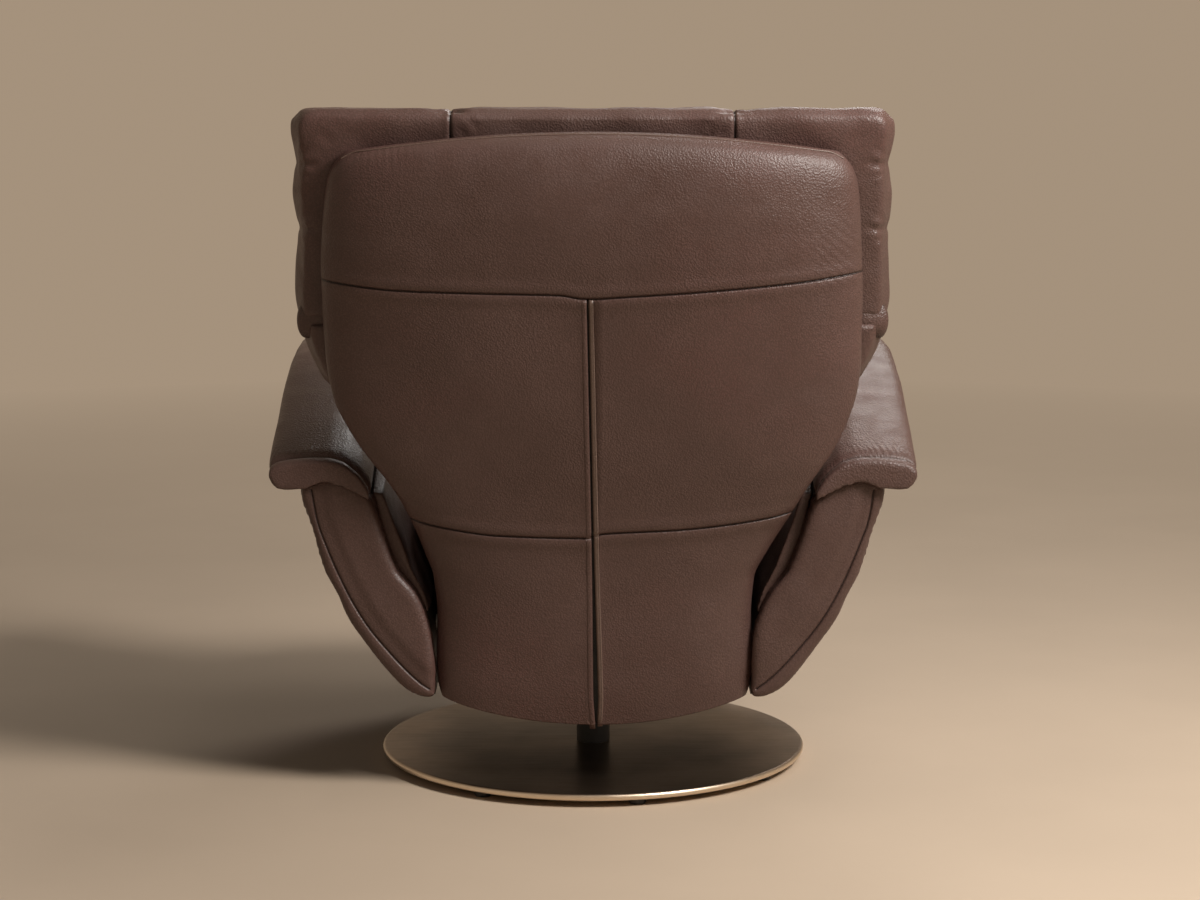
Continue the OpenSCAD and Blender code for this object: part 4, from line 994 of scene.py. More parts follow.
@dataclass
class BackCushion:
    """The back cushion, which narrows to the seat and carries the head cushion's panel seams on."""

    shop: Upholstery
    border_height: float = 0.55
    border_depth: float = 0.095
    cross_height: float = 0.515
    gather_pitch: float = 0.021

    def relief(self, points: Array, facing: Array) -> Array:
        """Let the leather wander, with small gathers below the fold."""
        gathers = np.sin(points[:, 0] * 2 * math.pi / self.gather_pitch)
        gathers *= bell(points[:, 2] - (FOLD_Z - 0.012), 0.03) * ramp(-facing[:, 1], 0.2, 0.7)
        return 0.0013 * drift(points, 0.12, 3.0) + 0.0006 * gathers

    def build(self) -> Piece:
        """Build the cushion."""
        front = rear_at(self.border_height) - self.border_depth
        seams = (
            *panel_seams(high=(2, rear_at(0.5) - 0.05, 2)),
            Seam((0, front, self.border_height), BACK_NORMAL, pull=0.004, reach=0.016),
            Seam((0, 0, self.cross_height), (0, 0.05, 1), low=(-0.19, -1, 0), high=(0.19, 0.15, 1),
                 pull=0.007),
        )
        return self.shop.make(Padding(
            "back_cushion", Body.BACK, 0.7, seams=seams, relief=self.relief,
            held=lambda points, facing: np.maximum(rear_face(points, facing), ramp(facing[:, 2], 0.7, 0.9)),
        ))


@dataclass
class FoldGusset:
    """The soft leather roll in the fold between the back cushion and the head cushion."""

    finishes: Finishes
    half_width: float = 0.425
    behind: float = -0.004
    ahead: float = -0.092
    reach: float = 0.026
    drawn: float = 0.012
    tucked: float = 0.026
    power: float = 9.0
    blend_half: float = 0.012
    columns: int = 144
    rows: int = 17

    def build(self) -> Piece:
        """Build the roll."""
        turns = np.linspace(0, 2 * math.pi, self.columns, endpoint=False)
        round_x, round_y = (np.sign(wave) * np.abs(wave) ** (2 / self.power)
                            for wave in (np.cos(turns), np.sin(turns)))
        rings, crevices = [], []
        for angle in np.linspace(-math.pi / 2, math.pi / 2, self.rows):
            z = FOLD_Z + self.reach * math.sin(angle)
            inward = 1 - math.cos(angle)
            behind, ahead = self.behind - self.drawn * inward, self.ahead + self.tucked * inward
            across = round_x * (self.half_width - self.drawn * inward)
            along = rear_at(z) + (behind + ahead) / 2 + round_y * (behind - ahead) / 2
            rings.append(np.stack([across, along, np.full(len(turns), z)], axis=1))
            # Painted shade, light on the roll's middle and darkest where it tucks in between the cushions.
            crevices.append(np.full(len(turns), 0.15 + 0.75 * inward))
        points = np.concatenate(rings)
        points[:, 1] += 0.0012 * drift(points, 0.06, 4.0)
        piece = new_piece("fold_gusset", points, ring_faces(self.rows, self.columns))
        mark_crevices(piece, np.concatenate(crevices))
        shade_smooth(piece)
        self.finishes.dress(piece, Slot.LEATHER)
        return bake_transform(piece)


@dataclass
class SeatCushion:
    """The seat cushion with its rolled nose and a border seam."""

    shop: Upholstery
    nose_y: float = -0.415
    nose_seam: float = 0.115
    border_height: float = 0.366
    top: float = 0.452
    sat_y: float = -0.12
    sat_reach: float = 0.17
    sag: float = 0.004

    # Folds from where the seams cross, as (run across, reach along)
    seam_folds: Rows = ((0.035, 0.03), (-0.04, 0.035), (0.03, -0.03))

    def relief(self, points: Array, facing: Array) -> Array:
        """Let the top sag a little where it is sat on."""
        away = np.hypot(points[:, 0], (points[:, 1] - self.sat_y) * 0.9)
        sat = bell(away, self.sat_reach) * ramp(facing[:, 2], 0.5, 0.9)
        return 0.0014 * drift(points, 0.13, 5.0) + 0.0005 * drift(points, 0.05, 6.0) - self.sag * sat

    def build(self) -> Piece:
        """Build the cushion."""
        across = self.nose_y + self.nose_seam
        seams = (
            *panel_seams(low=(-1, -1, 0.36), pull=0.007, reach=0.024),
            Seam((0, across, 0), (0, 1, 0), low=(-1, -1, 0.42), pull=0.005),
            Seam((0, 0, self.border_height), (0, 0, 1), pull=0.003, reach=0.014),
        )
        creases = tuple(
            Crease((side * PANEL_SEAM_X, across, self.top),
                   (side * (PANEL_SEAM_X + run), across + reach, self.top), 0.0022, 0.006)
            for side in (-1, 1) for run, reach in self.seam_folds
        )
        return self.shop.make(Padding(
            "seat_cushion", Body.SEAT, 0.7, seams=seams, creases=creases, held=underside,
            relief=self.relief,
        ))


@dataclass
class LegRest:
    """The leg rest's rolled pad and the pad of its fold-out flap."""

    shop: Upholstery
    cross_height: float = 0.262
    flap_edge: float = 0.010

    def pad(self, node: str, body: Body, seams: tuple[Seam, ...]) -> Piece:
        """Make one of the pads, held where it lies on its board."""
        return self.shop.make(Padding(
            node, body, 0.6, voxel=0.005, soften=4, shrink=0.004, cap=0.0045, seams=seams,
            held=lambda points, facing: ramp(np.abs(facing[:, 1]), 0.9, 0.99),
            relief=lambda points, facing: 0.0009 * drift(points, 0.09, 7.0),
        ))

    def build(self) -> list[Piece]:
        """Build both pads."""
        low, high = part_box("flap_pad")
        edge = float(low.y) + self.flap_edge
        middle = (low.z + high.z) / 2
        pad = self.pad("legrest_pad", Body.LEGREST, (
            *panel_seams(high=(2, -0.3765, 2), pull=0.004, reach=0.016),
            Seam((0, 0, self.cross_height), (0, 0, 1), high=(2, -0.385, 2), pull=0.004, reach=0.016),
        ))
        flap = self.pad("flap_pad", Body.FLAP, (
            Seam((0, edge, 0), (0, 1, 0), pull=0.003, reach=0.010),
            Seam((0, 0, middle), (0, 0, 1), low=(-1, edge, 0), pull=0.004, reach=0.014),
        ))
        return [pad, flap]


@dataclass
class ArmRest:
    """One arm: saddle pad, padded outer shell, end panels with a seam round them, and inner lining."""

    shop: Upholstery
    side: int
    pad_rear: float = 0.254
    seam_in: float = 0.017
    gathers_from: float = 0.365
    gather_pitch: float = 0.0085
    rear_y: float = 0.238
    front_y: float = -0.358
    end_t: float = 0.024
    lining_top: float = 0.426
    lining_lift: float = 0.003
    crown: float = 0.0045
    rear_top: float = 0.447
    still_z: float = 0.295
    pad_rise: float = 0.125
    rise_run: float = 0.500
    pad_front: float = -0.396
    nose_drop: float = 0.12

    # The seam round an end panel, from its top down to its foot, as (across, height)
    seam_points: Rows = (
        (0.408, 0.446), (0.400, 0.400), (0.389, 0.370), (0.370, 0.325), (0.350, 0.285), (0.327, 0.248),
        (0.300, 0.214), (0.275, 0.186), (0.255, 0.167), (0.240, 0.156),
    )

    @property
    def word(self) -> str:
        """Name the arm's side, as the nodes do."""
        return "left" if self.side > 0 else "right"

    def part(self, node: str, fill: float, voxel: float, soften: int, shrink: float,
             **more: object) -> Piece:
        """Make one piece of the arm, which is too thin to swell.

        Args:
            node: The node's word between the arm and its side.
            fill: Fill of the padding.
            voxel: Size of its skin's mesh.
            soften: Rounds of smoothing.
            shrink: How far the seams draw in.
            **more: Other settings of its padding.

        Returns:
            The finished piece.
        """
        return self.shop.make(Padding(
            f"arm_{node}_{self.word}", Body.SEAT, fill, voxel=voxel, soften=soften, shrink=shrink,
            swollen=False, **more,
        ))

    def pad_relief(self, points: Array, facing: Array) -> Array:
        """Gather the pad's leather in front of its end seam."""
        ahead = self.pad_rear - self.seam_in - points[:, 1]
        gathered = ramp(ahead, 0.002, 0.007) * (1 - ramp(ahead, 0.012, 0.045))
        gathered *= ramp(facing[:, 2], 0.3, 0.7)
        gathered *= ramp(np.abs(points[:, 0]), self.gathers_from, self.gathers_from + 0.03)
        slant = points[:, 0] * self.side + 0.35 * ahead
        gathers = np.sin(slant * 2 * math.pi / self.gather_pitch + 1.6 * np.sin(slant * 95.0))
        return 0.0006 * gathers * gathered + 0.0006 * drift(points, 0.15, 9.0)

    def build_pad(self) -> Piece:
        """Build the saddle pad."""
        rear_seam = Seam((0, self.pad_rear - self.seam_in, 0), (0, 1, 0), pull=0.003, reach=0.007,
                         depth=0.0034, width=0.0020)
        front_seam = Seam((0, self.pad_front + self.seam_in, 0), (0, 1, 0), pull=0.003, reach=0.007)
        seams = (rear_seam, front_seam)
        return self.part("pad", 0.6, 0.0055, 3, 0.003, seams=seams, relief=self.pad_relief)

    def wander(self, points: Array, facing: Array) -> Array:
        """Let the leather wander a little."""
        return 0.0009 * drift(points, 0.12, 11.0)

    def build_body(self) -> list[Piece]:
        """Build the outer shell, the end panels and the lining."""
        shell = self.part("shell", 0.5, 0.007, 7, 0.001, relief=self.wander, fairing=self.fair)
        ends = self.part("ends", 0.6, 0.0046, 6, 0.001, paths=self.end_paths(), relief=self.end_relief,
                         fairing=self.fair)
        lining = self.part("lining", 0.4, 0.0030, 1, 0.0005, relief=self.wander, fairing=self.fair_lining,
                           subdivided=False)
        return [shell, ends, lining]

    def rise(self, y: Array | float) -> Array:
        """Give how far the arm's top has risen at a place along the chair."""
        run = (self.pad_rear - y) / self.rise_run
        over = np.maximum(0, run - 1) * self.rise_run / (self.pad_rear - self.pad_front - self.rise_run)
        return self.pad_rise * (np.sin(math.pi / 2 * np.clip(run, 0, 1)) - self.nose_drop * over * over)

    def rear_height(self, y: Array | float, z: Array) -> Array:
        """Give the height at the arm's rear end that belongs to a point's height."""
        upper = self.rear_top - self.still_z
        above = z - self.still_z
        return np.where(above > 0, self.still_z + above * upper / (upper + self.rise(y)), z)

    def outlines(self) -> tuple[Rows, Rows]:
        """Read the arm's inner and outer outlines from its end panel.

        Returns:
            The inner and the outer rows, as (height, distance from the middle).
        """
        points = coords(self.shop.frame["nodes"][f"arm_ends_{self.word}"])
        ring = points[np.abs(points[:, 1] - (self.rear_y - self.end_t)) < 5e-4]
        rows: dict[float, list[float]] = {}
        for x, _, z in ring:
            rows.setdefault(round(float(z), 4), []).append(abs(float(x)))
        full = sorted((z, min(row), max(row)) for z, row in rows.items()
                      if max(row) - min(row) > 0.002 and z < self.rear_top - 0.015)
        return tuple((z, inner) for z, inner, _ in full), tuple((z, outer) for z, _, outer in full)

    def shift(self, points: Array) -> tuple[Array, Array]:
        """Give how far the rounded outlines lie outside the plain ones.

        Args:
            points: Points of the arm.

        Returns:
            The shifts at the inner and at the outer side, blended over the arm, and the inner shift alone.
        """
        outlines = self.outlines()
        z = self.rear_height(points[:, 1], points[:, 2])
        plain_in, plain_out = (np.interp(z, *zip(*rows)) for rows in outlines)
        round_in, round_out = (smooth_table(rows, z) for rows in outlines)
        across = np.clip((np.abs(points[:, 0]) - plain_in) / np.maximum(plain_out - plain_in, 0.004), 0, 1)
        at_inner = round_in - plain_in
        return at_inner + (round_out - plain_out - at_inner) * across, at_inner

    def fair(self, points: Array) -> Array:
        """Round the arm's outlines between their rows."""
        points = points.copy()
        points[:, 0] += self.side * self.shift(points)[0]
        return points

    def fair_lining(self, points: Array) -> Array:
        """Round the lining towards the seat only, and raise its top edge to the pad, over the core."""
        points = points.copy()
        height = self.rear_height(points[:, 1], points[:, 2])
        upper = ramp(height, self.lining_top - 0.045, self.lining_top - 0.015)
        points[:, 0] += self.side * np.minimum(self.shift(points)[1], 0)
        points[:, 2] += (self.lining_lift + 0.14 * self.rise(points[:, 1])) * upper
        return points

    def end_relief(self, points: Array, facing: Array) -> Array:
        """Crown the end panels between their seam and their inner edge."""
        crowns = (ramp(path.distance(points), 0.004, 0.030) * path.seen(facing)
                  for path in self.end_paths())
        return self.crown * sum(crowns) + self.wander(points, facing)

    def end_paths(self) -> tuple[SeamPath, ...]:
        """Give the seams round the rear and the front end panel."""
        return tuple(SeamPath(self.panel_seam(rear), (0, 1 if rear else -1, 0)) for rear in (True, False))

    def panel_seam(self, rear: bool) -> tuple[Point, ...]:
        """Give the seam round an end panel, inside its outer edge and along its foot."""
        place = self.rear_y if rear else self.front_y
        heights = np.linspace(self.seam_points[-1][1], self.seam_points[0][1], 36)
        across = smooth_table(tuple((z, x) for x, z in reversed(self.seam_points)), heights)
        upper = self.rear_top - self.still_z
        lift = float(self.rise(place)) * np.maximum(0, heights - self.still_z) / upper
        return tuple((self.side * float(x), place, float(z)) for x, z in zip(across, heights + lift))

    def build(self) -> list[Piece]:
        """Build the whole arm."""
        return [self.build_pad(), *self.build_body()]


def piping_along(name: str, points: Array, radius: float) -> Piece:
    """Make a round piping that follows points.

    Args:
        name: Name of the piece.
        points: Points as rows.
        radius: Radius of the piping.

    Returns:
        The piping as a mesh.
    """
    curve = bpy.data.curves.new(name, "CURVE")
    curve.dimensions = "3D"
    curve.bevel_depth = radius
    curve.bevel_resolution = 3
    curve.resolution_u = 8
    curve.use_fill_caps = True
    spline = curve.splines.new("BEZIER")
    spline.bezier_points.add(len(points) - 1)
    for knot, place in zip(spline.bezier_points, points):
        knot.co = place
        knot.handle_left_type = knot.handle_right_type = "AUTO"
    only(placed(name, curve))
    bpy.ops.object.convert(target="MESH")
    return bpy.context.view_layer.objects.active


@dataclass(frozen=True)
class Fan:
    """Fine folds that fan out from a place where the leather is pinched."""

    at: tuple[float, float]
    tall: float
    turn: float
    spread: float
    count: float
    reach: float

    def height(self, x: Array, z: Array) -> Array:
        """Give the folds' height at places across and heights."""
        dx, dz = x - self.at[0], z - self.at[1]
        away = np.hypot(dx, dz)
        angle = (np.arctan2(dz, dx) - self.turn + math.pi) % (2 * math.pi) - math.pi
        folds = np.sin(angle * self.count + 2.2 * np.sin(away * 60.0)) * bell(angle, self.spread)
        return self.tall * folds * ramp(away, 0.006, 0.022) * np.exp(-away / self.reach)


@dataclass
class RearCover:
    """The shield of padded leather behind the back, with its seams, centre slit and zip."""

    finishes: Finishes
    low: float = 0.105
    top: float = 0.975
    depth: float = 0.106
    wall: float = 0.011
    hem_bow: float = 0.75
    top_bow: float = 0.24
    upper_seam_share: float = 0.740
    lower_seam_share: float = 0.329
    seam_reach: float = 0.009
    seam_swell: float = 0.0016
    seam_depth: float = 0.0030
    seam_width: float = 0.0016
    slit_depth: float = 0.0085
    count_across: int = 181
    count_up: int = 231
    slit_clear: float = 0.034
    slit_top: tuple[float, float] = (0.0068, 0.744)
    slit_low: tuple[float, float] = (-0.0052, 0.105)
    fans: tuple[Fan, ...] = (
        Fan((-0.234, 0.293), 0.0026, math.radians(125), 0.55, 17.0, 0.060),
        Fan((-0.234, 0.293), 0.0018, math.radians(195), 0.40, 13.0, 0.040),
        Fan((0.233, 0.296), 0.0013, math.radians(50), 0.50, 13.0, 0.045),
    )

    # Bulges as (height, across, up, stretch), and gathers under the top welt as (height, pitch,
    # phase, across, width)
    bulges: Rows = ((0.0050, -0.160, 0.205, 1.2), (0.0025, 0.165, 0.200, 1.3))
    top_gathers: Rows = ((0.0009, 0.0105, 0.0, 0.285, 0.045), (0.0007, 0.0130, 1.0, -0.310, 0.040))

    # Half widths by height on each side, and half the slit's width by height
    left_rows: Rows = (
        (0.100, 0.222), (0.128, 0.229), (0.160, 0.2305), (0.235, 0.2285), (0.296, 0.2335), (0.334, 0.245),
        (0.371, 0.258), (0.420, 0.281), (0.478, 0.329), (0.516, 0.352), (0.554, 0.370), (0.620, 0.381),
        (0.700, 0.385), (0.771, 0.385), (0.860, 0.381), (0.912, 0.376), (0.935, 0.372), (0.952, 0.366),
        (0.963, 0.358), (0.971, 0.350), (0.975, 0.343),
    )
    right_rows: Rows = (
        (0.100, 0.226), (0.128, 0.234), (0.160, 0.2365), (0.235, 0.2325), (0.291, 0.2365), (0.334, 0.257),
        (0.379, 0.284), (0.429, 0.312), (0.478, 0.347), (0.516, 0.364), (0.569, 0.379), (0.627, 0.3845),
        (0.700, 0.3845), (0.771, 0.382), (0.860, 0.379), (0.912, 0.375), (0.935, 0.371), (0.952, 0.365),
        (0.963, 0.357), (0.971, 0.349), (0.975, 0.342),
    )
    slit_rows: Rows = (
        (0.09, 0.0010), (0.112, 0.0016), (0.150, 0.0034), (0.210, 0.0030), (0.300, 0.0019), (0.420, 0.0013),
        (0.744, 0.0011),
    )

    # The slit's columns as (side, inset, depth)
    slit_steps: Rows = (
        (-1.0, 0.0010, 0.0), (-1.0, 0.0002, 0.25), (-1.0, -0.0003, 1.0), (0.0, 0.0, 1.0),
        (1.0, 0.0003, 1.0), (1.0, -0.0002, 0.25), (1.0, -0.0010, 0.0),
    )

    # Shares of the depth on the centre line and at the edge, by shares of the height
    depth_shares: Rows = (
        (0.0, 0.83), (0.035, 0.82), (0.09, 0.775), (0.16, 0.735), (0.225, 0.70), (0.305, 0.675),
        (0.375, 0.70), (0.445, 0.76), (0.53, 0.82), (0.60, 0.86), (0.68, 0.90), (0.74, 0.93),
        (0.80, 0.955), (0.86, 0.945), (0.90, 0.91), (0.94, 0.845), (0.965, 0.77), (0.982, 0.68),
        (0.993, 0.54), (1.0, 0.34),
    )
    edge_shares: Rows = (
        (0.0, 0.38), (0.035, 0.31), (0.09, 0.24), (0.16, 0.19), (0.265, 0.175), (0.305, 0.18), (0.34, 0.26),
        (0.375, 0.36), (0.41, 0.375), (0.445, 0.34), (0.48, 0.28), (0.53, 0.19), (0.60, 0.09), (0.68, 0.04),
        (1.0, 0.04),
    )

    # Heights of the two cross seams, by places across
    upper_seam: Rows = (
        (-0.379, 0.777), (-0.287, 0.765), (-0.149, 0.753), (-0.038, 0.746), (0.0, 0.7435), (0.014, 0.7440),
        (0.046, 0.749), (0.143, 0.751), (0.268, 0.754), (0.382, 0.765),
    )
    lower_seam: Rows = (
        (-0.355, 0.446), (-0.306, 0.427), (-0.211, 0.410), (-0.125, 0.401), (-0.012, 0.395), (0.007, 0.389),
        (0.134, 0.392), (0.206, 0.401), (0.270, 0.415), (0.330, 0.441),
    )

    @property
    def tall(self) -> float:
        """Height of the cover on its centre line."""
        return self.top - self.low

    def slit_x(self, z: Array) -> Array:
        """Give the slit's place across at a height."""
        share = (np.minimum(z, self.slit_top[1]) - self.slit_low[1]) / (self.slit_top[1] - self.slit_low[1])
        return self.slit_low[0] + (self.slit_top[0] - self.slit_low[0]) * share

    def slit_half(self, z: Array) -> Array:
        """Give half the slit's width at a height."""
        return smooth_table(self.slit_rows, z)

    def half_width(self, x: Array, z: Array) -> Array:
        """Give the half width at a height, on the side of x."""
        return np.where(x >= 0, smooth_table(self.left_rows, z), smooth_table(self.right_rows, z))

    def ends(self, x: Array) -> tuple[Array, Array]:
        """Give the heights of the bowed hem and the bowed top at places across."""
        return self.low + self.hem_bow * x * x, self.top - self.top_bow * x * x

    def surface(self, x: Array, z: Array, share: Array | None = None) -> Array:
        """Give the plain surface's place along Y, without seams and folds.

        Args:
            x: Places across.
            z: Heights.
            share: Shares of the height, where they are known.

        Returns:
            Places along Y.
        """
        if share is None:
            low, top = self.ends(x)
            share = np.clip((z - low) / (top - low), 0, 1)
        half = self.half_width(x, np.clip(self.low + share * self.tall, self.low, self.top))
        edge = smooth_table(self.edge_shares, share) * self.depth
        deep = smooth_table(self.depth_shares, share) * self.depth
        across = np.clip(np.abs(x) / half, 0, 1)
        return back_plane(z) + edge + (deep - edge) * bow(across, 2.6)

    def relief(self, x: Array, z: Array) -> tuple[Array, Array]:
        """Give the height of seams, folds and bulges, and how deep each point lies in a seam, for its
        painted shade.

        Args:
            x: Places across.
            z: Heights.

        Returns:
            Height outwards, and crevice depth from 0 to 1, which sets the painted shade of the seams.
        """
        height = np.zeros_like(x)
        crevice = np.zeros_like(x)
        for rows in (self.upper_seam, self.lower_seam):
            away = z - smooth_table(rows, x)
            beside = bell(np.abs(away) - self.seam_reach, 0.008)
            height += self.seam_swell * beside - self.seam_depth * bell(away, self.seam_width)
            # Painted shade along the seams.
            crevice = np.maximum(crevice, bell(away + 0.0004, 0.0013))
        for fan in self.fans:
            height += fan.height(x, z)
        for tall, across, up, stretch in self.bulges:
            height += tall * bell(np.hypot(x - across, (z - up) / stretch), 0.060)
        near_top = np.exp(-np.clip(self.ends(x)[1] - z, 0, None) / 0.018)
        for tall, pitch, phase, across, width in self.top_gathers:
            height += tall * near_top * np.sin(x * 2 * math.pi / pitch + phase) * bell(x - across, width)
        slant = (x * 0.6 - z * 0.8) * 2 * math.pi / 0.012 + 2 * np.sin(x * 40)
        height += 0.0004 * np.sin(slant) * bell(np.hypot(x + 0.345, z - 0.80), 0.05)
        points = np.stack([x.ravel(), np.zeros(x.size), z.ravel()], axis=1)
        height += (0.0013 * drift(points, 0.26, 1.0) + 0.0001 * drift(points, 0.07, 2.0)).reshape(x.shape)
        return height, crevice

    def columns(self) -> Array:
        """Give the grid's places across as shares from -1 to 1, closer at the edges."""
        even = np.linspace(-1, 1, self.count_across)
        turn = np.linspace(-math.pi / 2, math.pi / 2, self.count_across)
        return 0.45 * np.sin(turn) + 0.55 * even

    def rows(self) -> Array:
        """Give the grid's heights as shares, closer at the seams, the hem and the top."""
        base = np.linspace(0, 1, self.count_up)
        fine = [centre + step / self.tall for centre in (self.upper_seam_share, self.lower_seam_share)
                for step in np.linspace(-0.006, 0.006, 21)]
        ends = np.concatenate([np.linspace(0, 0.012, 8), np.linspace(0.975, 1, 16)])
        merged = np.unique(np.round(np.concatenate([base, fine, ends]), 5))
        return merged[np.concatenate([[True], np.diff(merged) > 2e-4])]

    def grid(self) -> tuple[Array, Array, Array]:
        """Lay the grid's points over the plain outline.

        Returns:
            Places across, heights and shares of the height, as grids.
        """
        share = self.rows()[:, None] * np.ones(len(self.columns()))[None, :]
        across = np.ones(len(self.rows()))[:, None] * self.columns()[None, :]
        nominal = self.low + share * self.tall
        x = across * self.half_width(across, nominal)
        low, top = self.ends(x)
        z = low + share * (top - low)
        seams = (self.upper_seam, self.upper_seam_share), (self.lower_seam, self.lower_seam_share)
        for rows, place in seams:
            here = low + place * (top - low)
            lift = smooth_table(rows, x) - here
            z = z + lift * 0.5 * (1 + np.cos(np.clip((share - place) / 0.16, -1, 1) * math.pi))
        return x, z, share

    def slit_columns(self, z: Array) -> tuple[Array, Array]:
        """Give columns for the slit's edges and floor.

        Args:
            z: The grid's heights.

        Returns:
            The slit's columns as places across, and how deep each of them lies from 0 to 1.
        """
        centre = z[:, self.count_across // 2]
        middle, half = self.slit_x(centre), self.slit_half(centre)
        places = np.stack([middle + sign * half - offset for sign, offset, _ in self.slit_steps], axis=1)
        return places, np.ones_like(places) * [depth for _, _, depth in self.slit_steps]

    def build_shell(self) -> Piece:
        """Build the leather shell."""
        x, z, share = self.grid()
        places, depths = self.slit_columns(z)
        left_part, right_part = self.columns() < -self.slit_clear, self.columns() > self.slit_clear
        centre = z[:, self.count_across // 2][:, None] * np.ones(places.shape[1])[None, :]
        x, z, share = (
            np.concatenate([grid[:, left_part], slit, grid[:, right_part]], axis=1)
            for grid, slit in ((x, places), (z, centre), (share, share[:, :places.shape[1]]))
        )
        deep = np.zeros_like(x)
        first = int(left_part.sum())
        below = centre < smooth_table(self.upper_seam, places) - 0.0005
        deep[:, first:first + places.shape[1]] = depths * below
        y = self.surface(x, z, share)
        height, crevice = self.relief(x, z)
        # Painted shade in the slit, by its depth.
        crevice = np.maximum(crevice, deep)
        roll = bell(x - self.slit_x(z), 0.010) * (z < 0.74) * (1 - deep)
        outer_y = y + height + 0.0012 * roll - self.slit_depth * deep
        inner_x = x - np.sign(x) * self.wall * ramp(np.abs(x) / self.half_width(x, z), 0.80, 1.0)
        inner_y = np.maximum(y - self.wall, back_plane(z) + 0.0008)
        inner_z = z - self.wall * 0.6 * ramp(share, 0.985, 1.0)
        piece = shell_of("rear_cover_leather", np.stack([x, outer_y, z], axis=2),
                         np.stack([inner_x, inner_y, inner_z], axis=2))
        mark_crevices(piece, np.concatenate([crevice.ravel(), np.zeros(crevice.size)]))
        self.finishes.sew_on(piece, Slot.LEATHER)
        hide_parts("rear_cover")
        return piece

    def on_cover(self, x: Array, z: Array, proud: float) -> Array:
        """Give points that lie on the cover at places across and heights."""
        height, _ = self.relief(x, z)
        y = self.surface(x, z) + height + proud
        return np.stack([x, y, z], axis=-1)

    def strip(self, name: str, inner: float, outer: float, thick: float, tail: float) -> Piece:
        """Lay a folded strip of leather beside the slit.

        Args:
            name: Name of the strip.
            inner: Distance of its inner edge outside the slit's edge, signed by side.
            outer: The same for its outer edge.
            thick: Thickness of the fold.
            tail: How far it hangs below the hem.

        Returns:
            The strip.
        """
        z = np.linspace(self.slit_low[1] - tail, self.slit_top[1] - 0.0015, 210)
        side = math.copysign(1.0, outer)
        edge = self.slit_x(z) + side * self.slit_half(z)
        across = np.linspace(inner, outer, 7)
        lift = np.array([0.0, 0.75, 1.0, 1.0, 0.95, 0.7, 0.0]) * thick
        grid = np.stack([self.on_cover(edge + a, z, 0.0) + np.array([0, l + 0.0002, 0])
                         for a, l in zip(across, lift)], axis=1)
        grid[:, :, 1] -= 0.0030 * bell(z - z[0], 0.006)[:, None]
        piece = shell_of(name, grid, grid - np.array([0, 0.0030, 0]))
        return self.finishes.sew_on(piece, Slot.LEATHER_LIGHT if side < 0 else Slot.LEATHER)

    def stitches(self) -> Piece:
        """Sew the row of stitches along the right strip."""
        pitch, length, radius, sides = 0.0044, 0.0030, 0.00042, 5
        z = np.arange(self.slit_low[1] + 0.006, self.slit_top[1] - 0.006, pitch)
        x = self.slit_x(z) - self.slit_half(z) - 0.0062
        lower = self.on_cover(x, z, 0.0021)
        upper = self.on_cover(x, z + length, 0.0021)
        points, faces = [], []
        for start, end in zip(lower, upper):
            base = len(points)
            for share, size in ((0.0, 0.35), (0.2, 1.0), (0.8, 1.0), (1.0, 0.35)):
                middle = start + (end - start) * share
                for k in range(sides):
                    turn = k * 2 * math.pi / sides
                    points.append(middle + radius * size * np.array([math.cos(turn), math.sin(turn), 0]))
            faces += ring_faces(4, sides, base)
        return self.finishes.sew_on(new_piece("cover_stitches", np.array(points), faces))

    def zip(self) -> Piece:
        """Lay the zip's tape and teeth at the bottom of the slit."""
        z = np.linspace(self.slit_low[1] + 0.004, self.slit_top[1] - 0.004, 180)
        across = np.array([-0.9, 0.0, 0.9])
        half = self.slit_half(z)
        grid = np.stack([self.on_cover(self.slit_x(z) + a * half, z, 0.0) - np.array([0, 0.0062, 0])
                         for a in across], axis=1)
        under = grid - np.array([0, 0.0008, 0])
        rows, cols = grid.shape[:2]
        points = list(np.concatenate([grid.reshape(-1, 3), under.reshape(-1, 3)]))
        faces = shell_faces(rows, cols)
        for k, place in enumerate(np.arange(self.slit_low[1] + 0.006, self.slit_top[1] - 0.006, 0.0022)):
            here = np.array([place])
            side = 1 if k % 2 else -1
            centre = self.on_cover(self.slit_x(here) + side * 0.0003, here, -0.0056)[0]
            base = len(points)
            points.extend(centre + np.array(ends) * TOOTH for ends in product((-1, 1), repeat=3))
            faces += [tuple(base + corner for corner in face) for face in BOX_FACES]
        piece = new_piece("cover_zip_tape", np.array(points), faces)
        self.finishes.dress(piece, Slot.BLACK_PLASTIC)
        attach(piece, Body.BACK.value)
        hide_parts("cover_zip")
        return piece

    def welt(self) -> Piece:
        """Sew the thin light welt along the cover's top edge."""
        x = np.linspace(-0.350, 0.350, 41)
        z = self.ends(x)[1] - 0.0032 - 0.018 * ramp(np.abs(x), 0.335, 0.375)
        points = np.stack([x, self.surface(x, z) + 0.0002, z], axis=1)
        return self.finishes.sew_on(piping_along("cover_top_welt", points, 0.0013))

    def build(self) -> list[Piece]:
        """Build the cover and all that is sewn on it."""
        shell = self.build_shell()
        right = self.strip("cover_strip_right", -0.0002, -0.0078, 0.0016, 0.003)
        left = self.strip("cover_strip_left", 0.0002, 0.0086, 0.0012, 0.007)
        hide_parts("cover_slit_strips")
        return [shell, right, left, self.stitches(), self.zip(), self.welt()]


def shell_of(name: str, outer: Array, inner: Array) -> Piece:
    """Make a closed shell between two grids of points.

    Args:
        name: Name of the piece.
        outer: Outer points, by row and column.
        inner: Inner points, laid out alike.

    Returns:
        The shell, with its faces outwards.
    """
    points = np.concatenate([outer.reshape(-1, 3), inner.reshape(-1, 3)])
    return new_piece(name, points, shell_faces(*outer.shape[:2]))


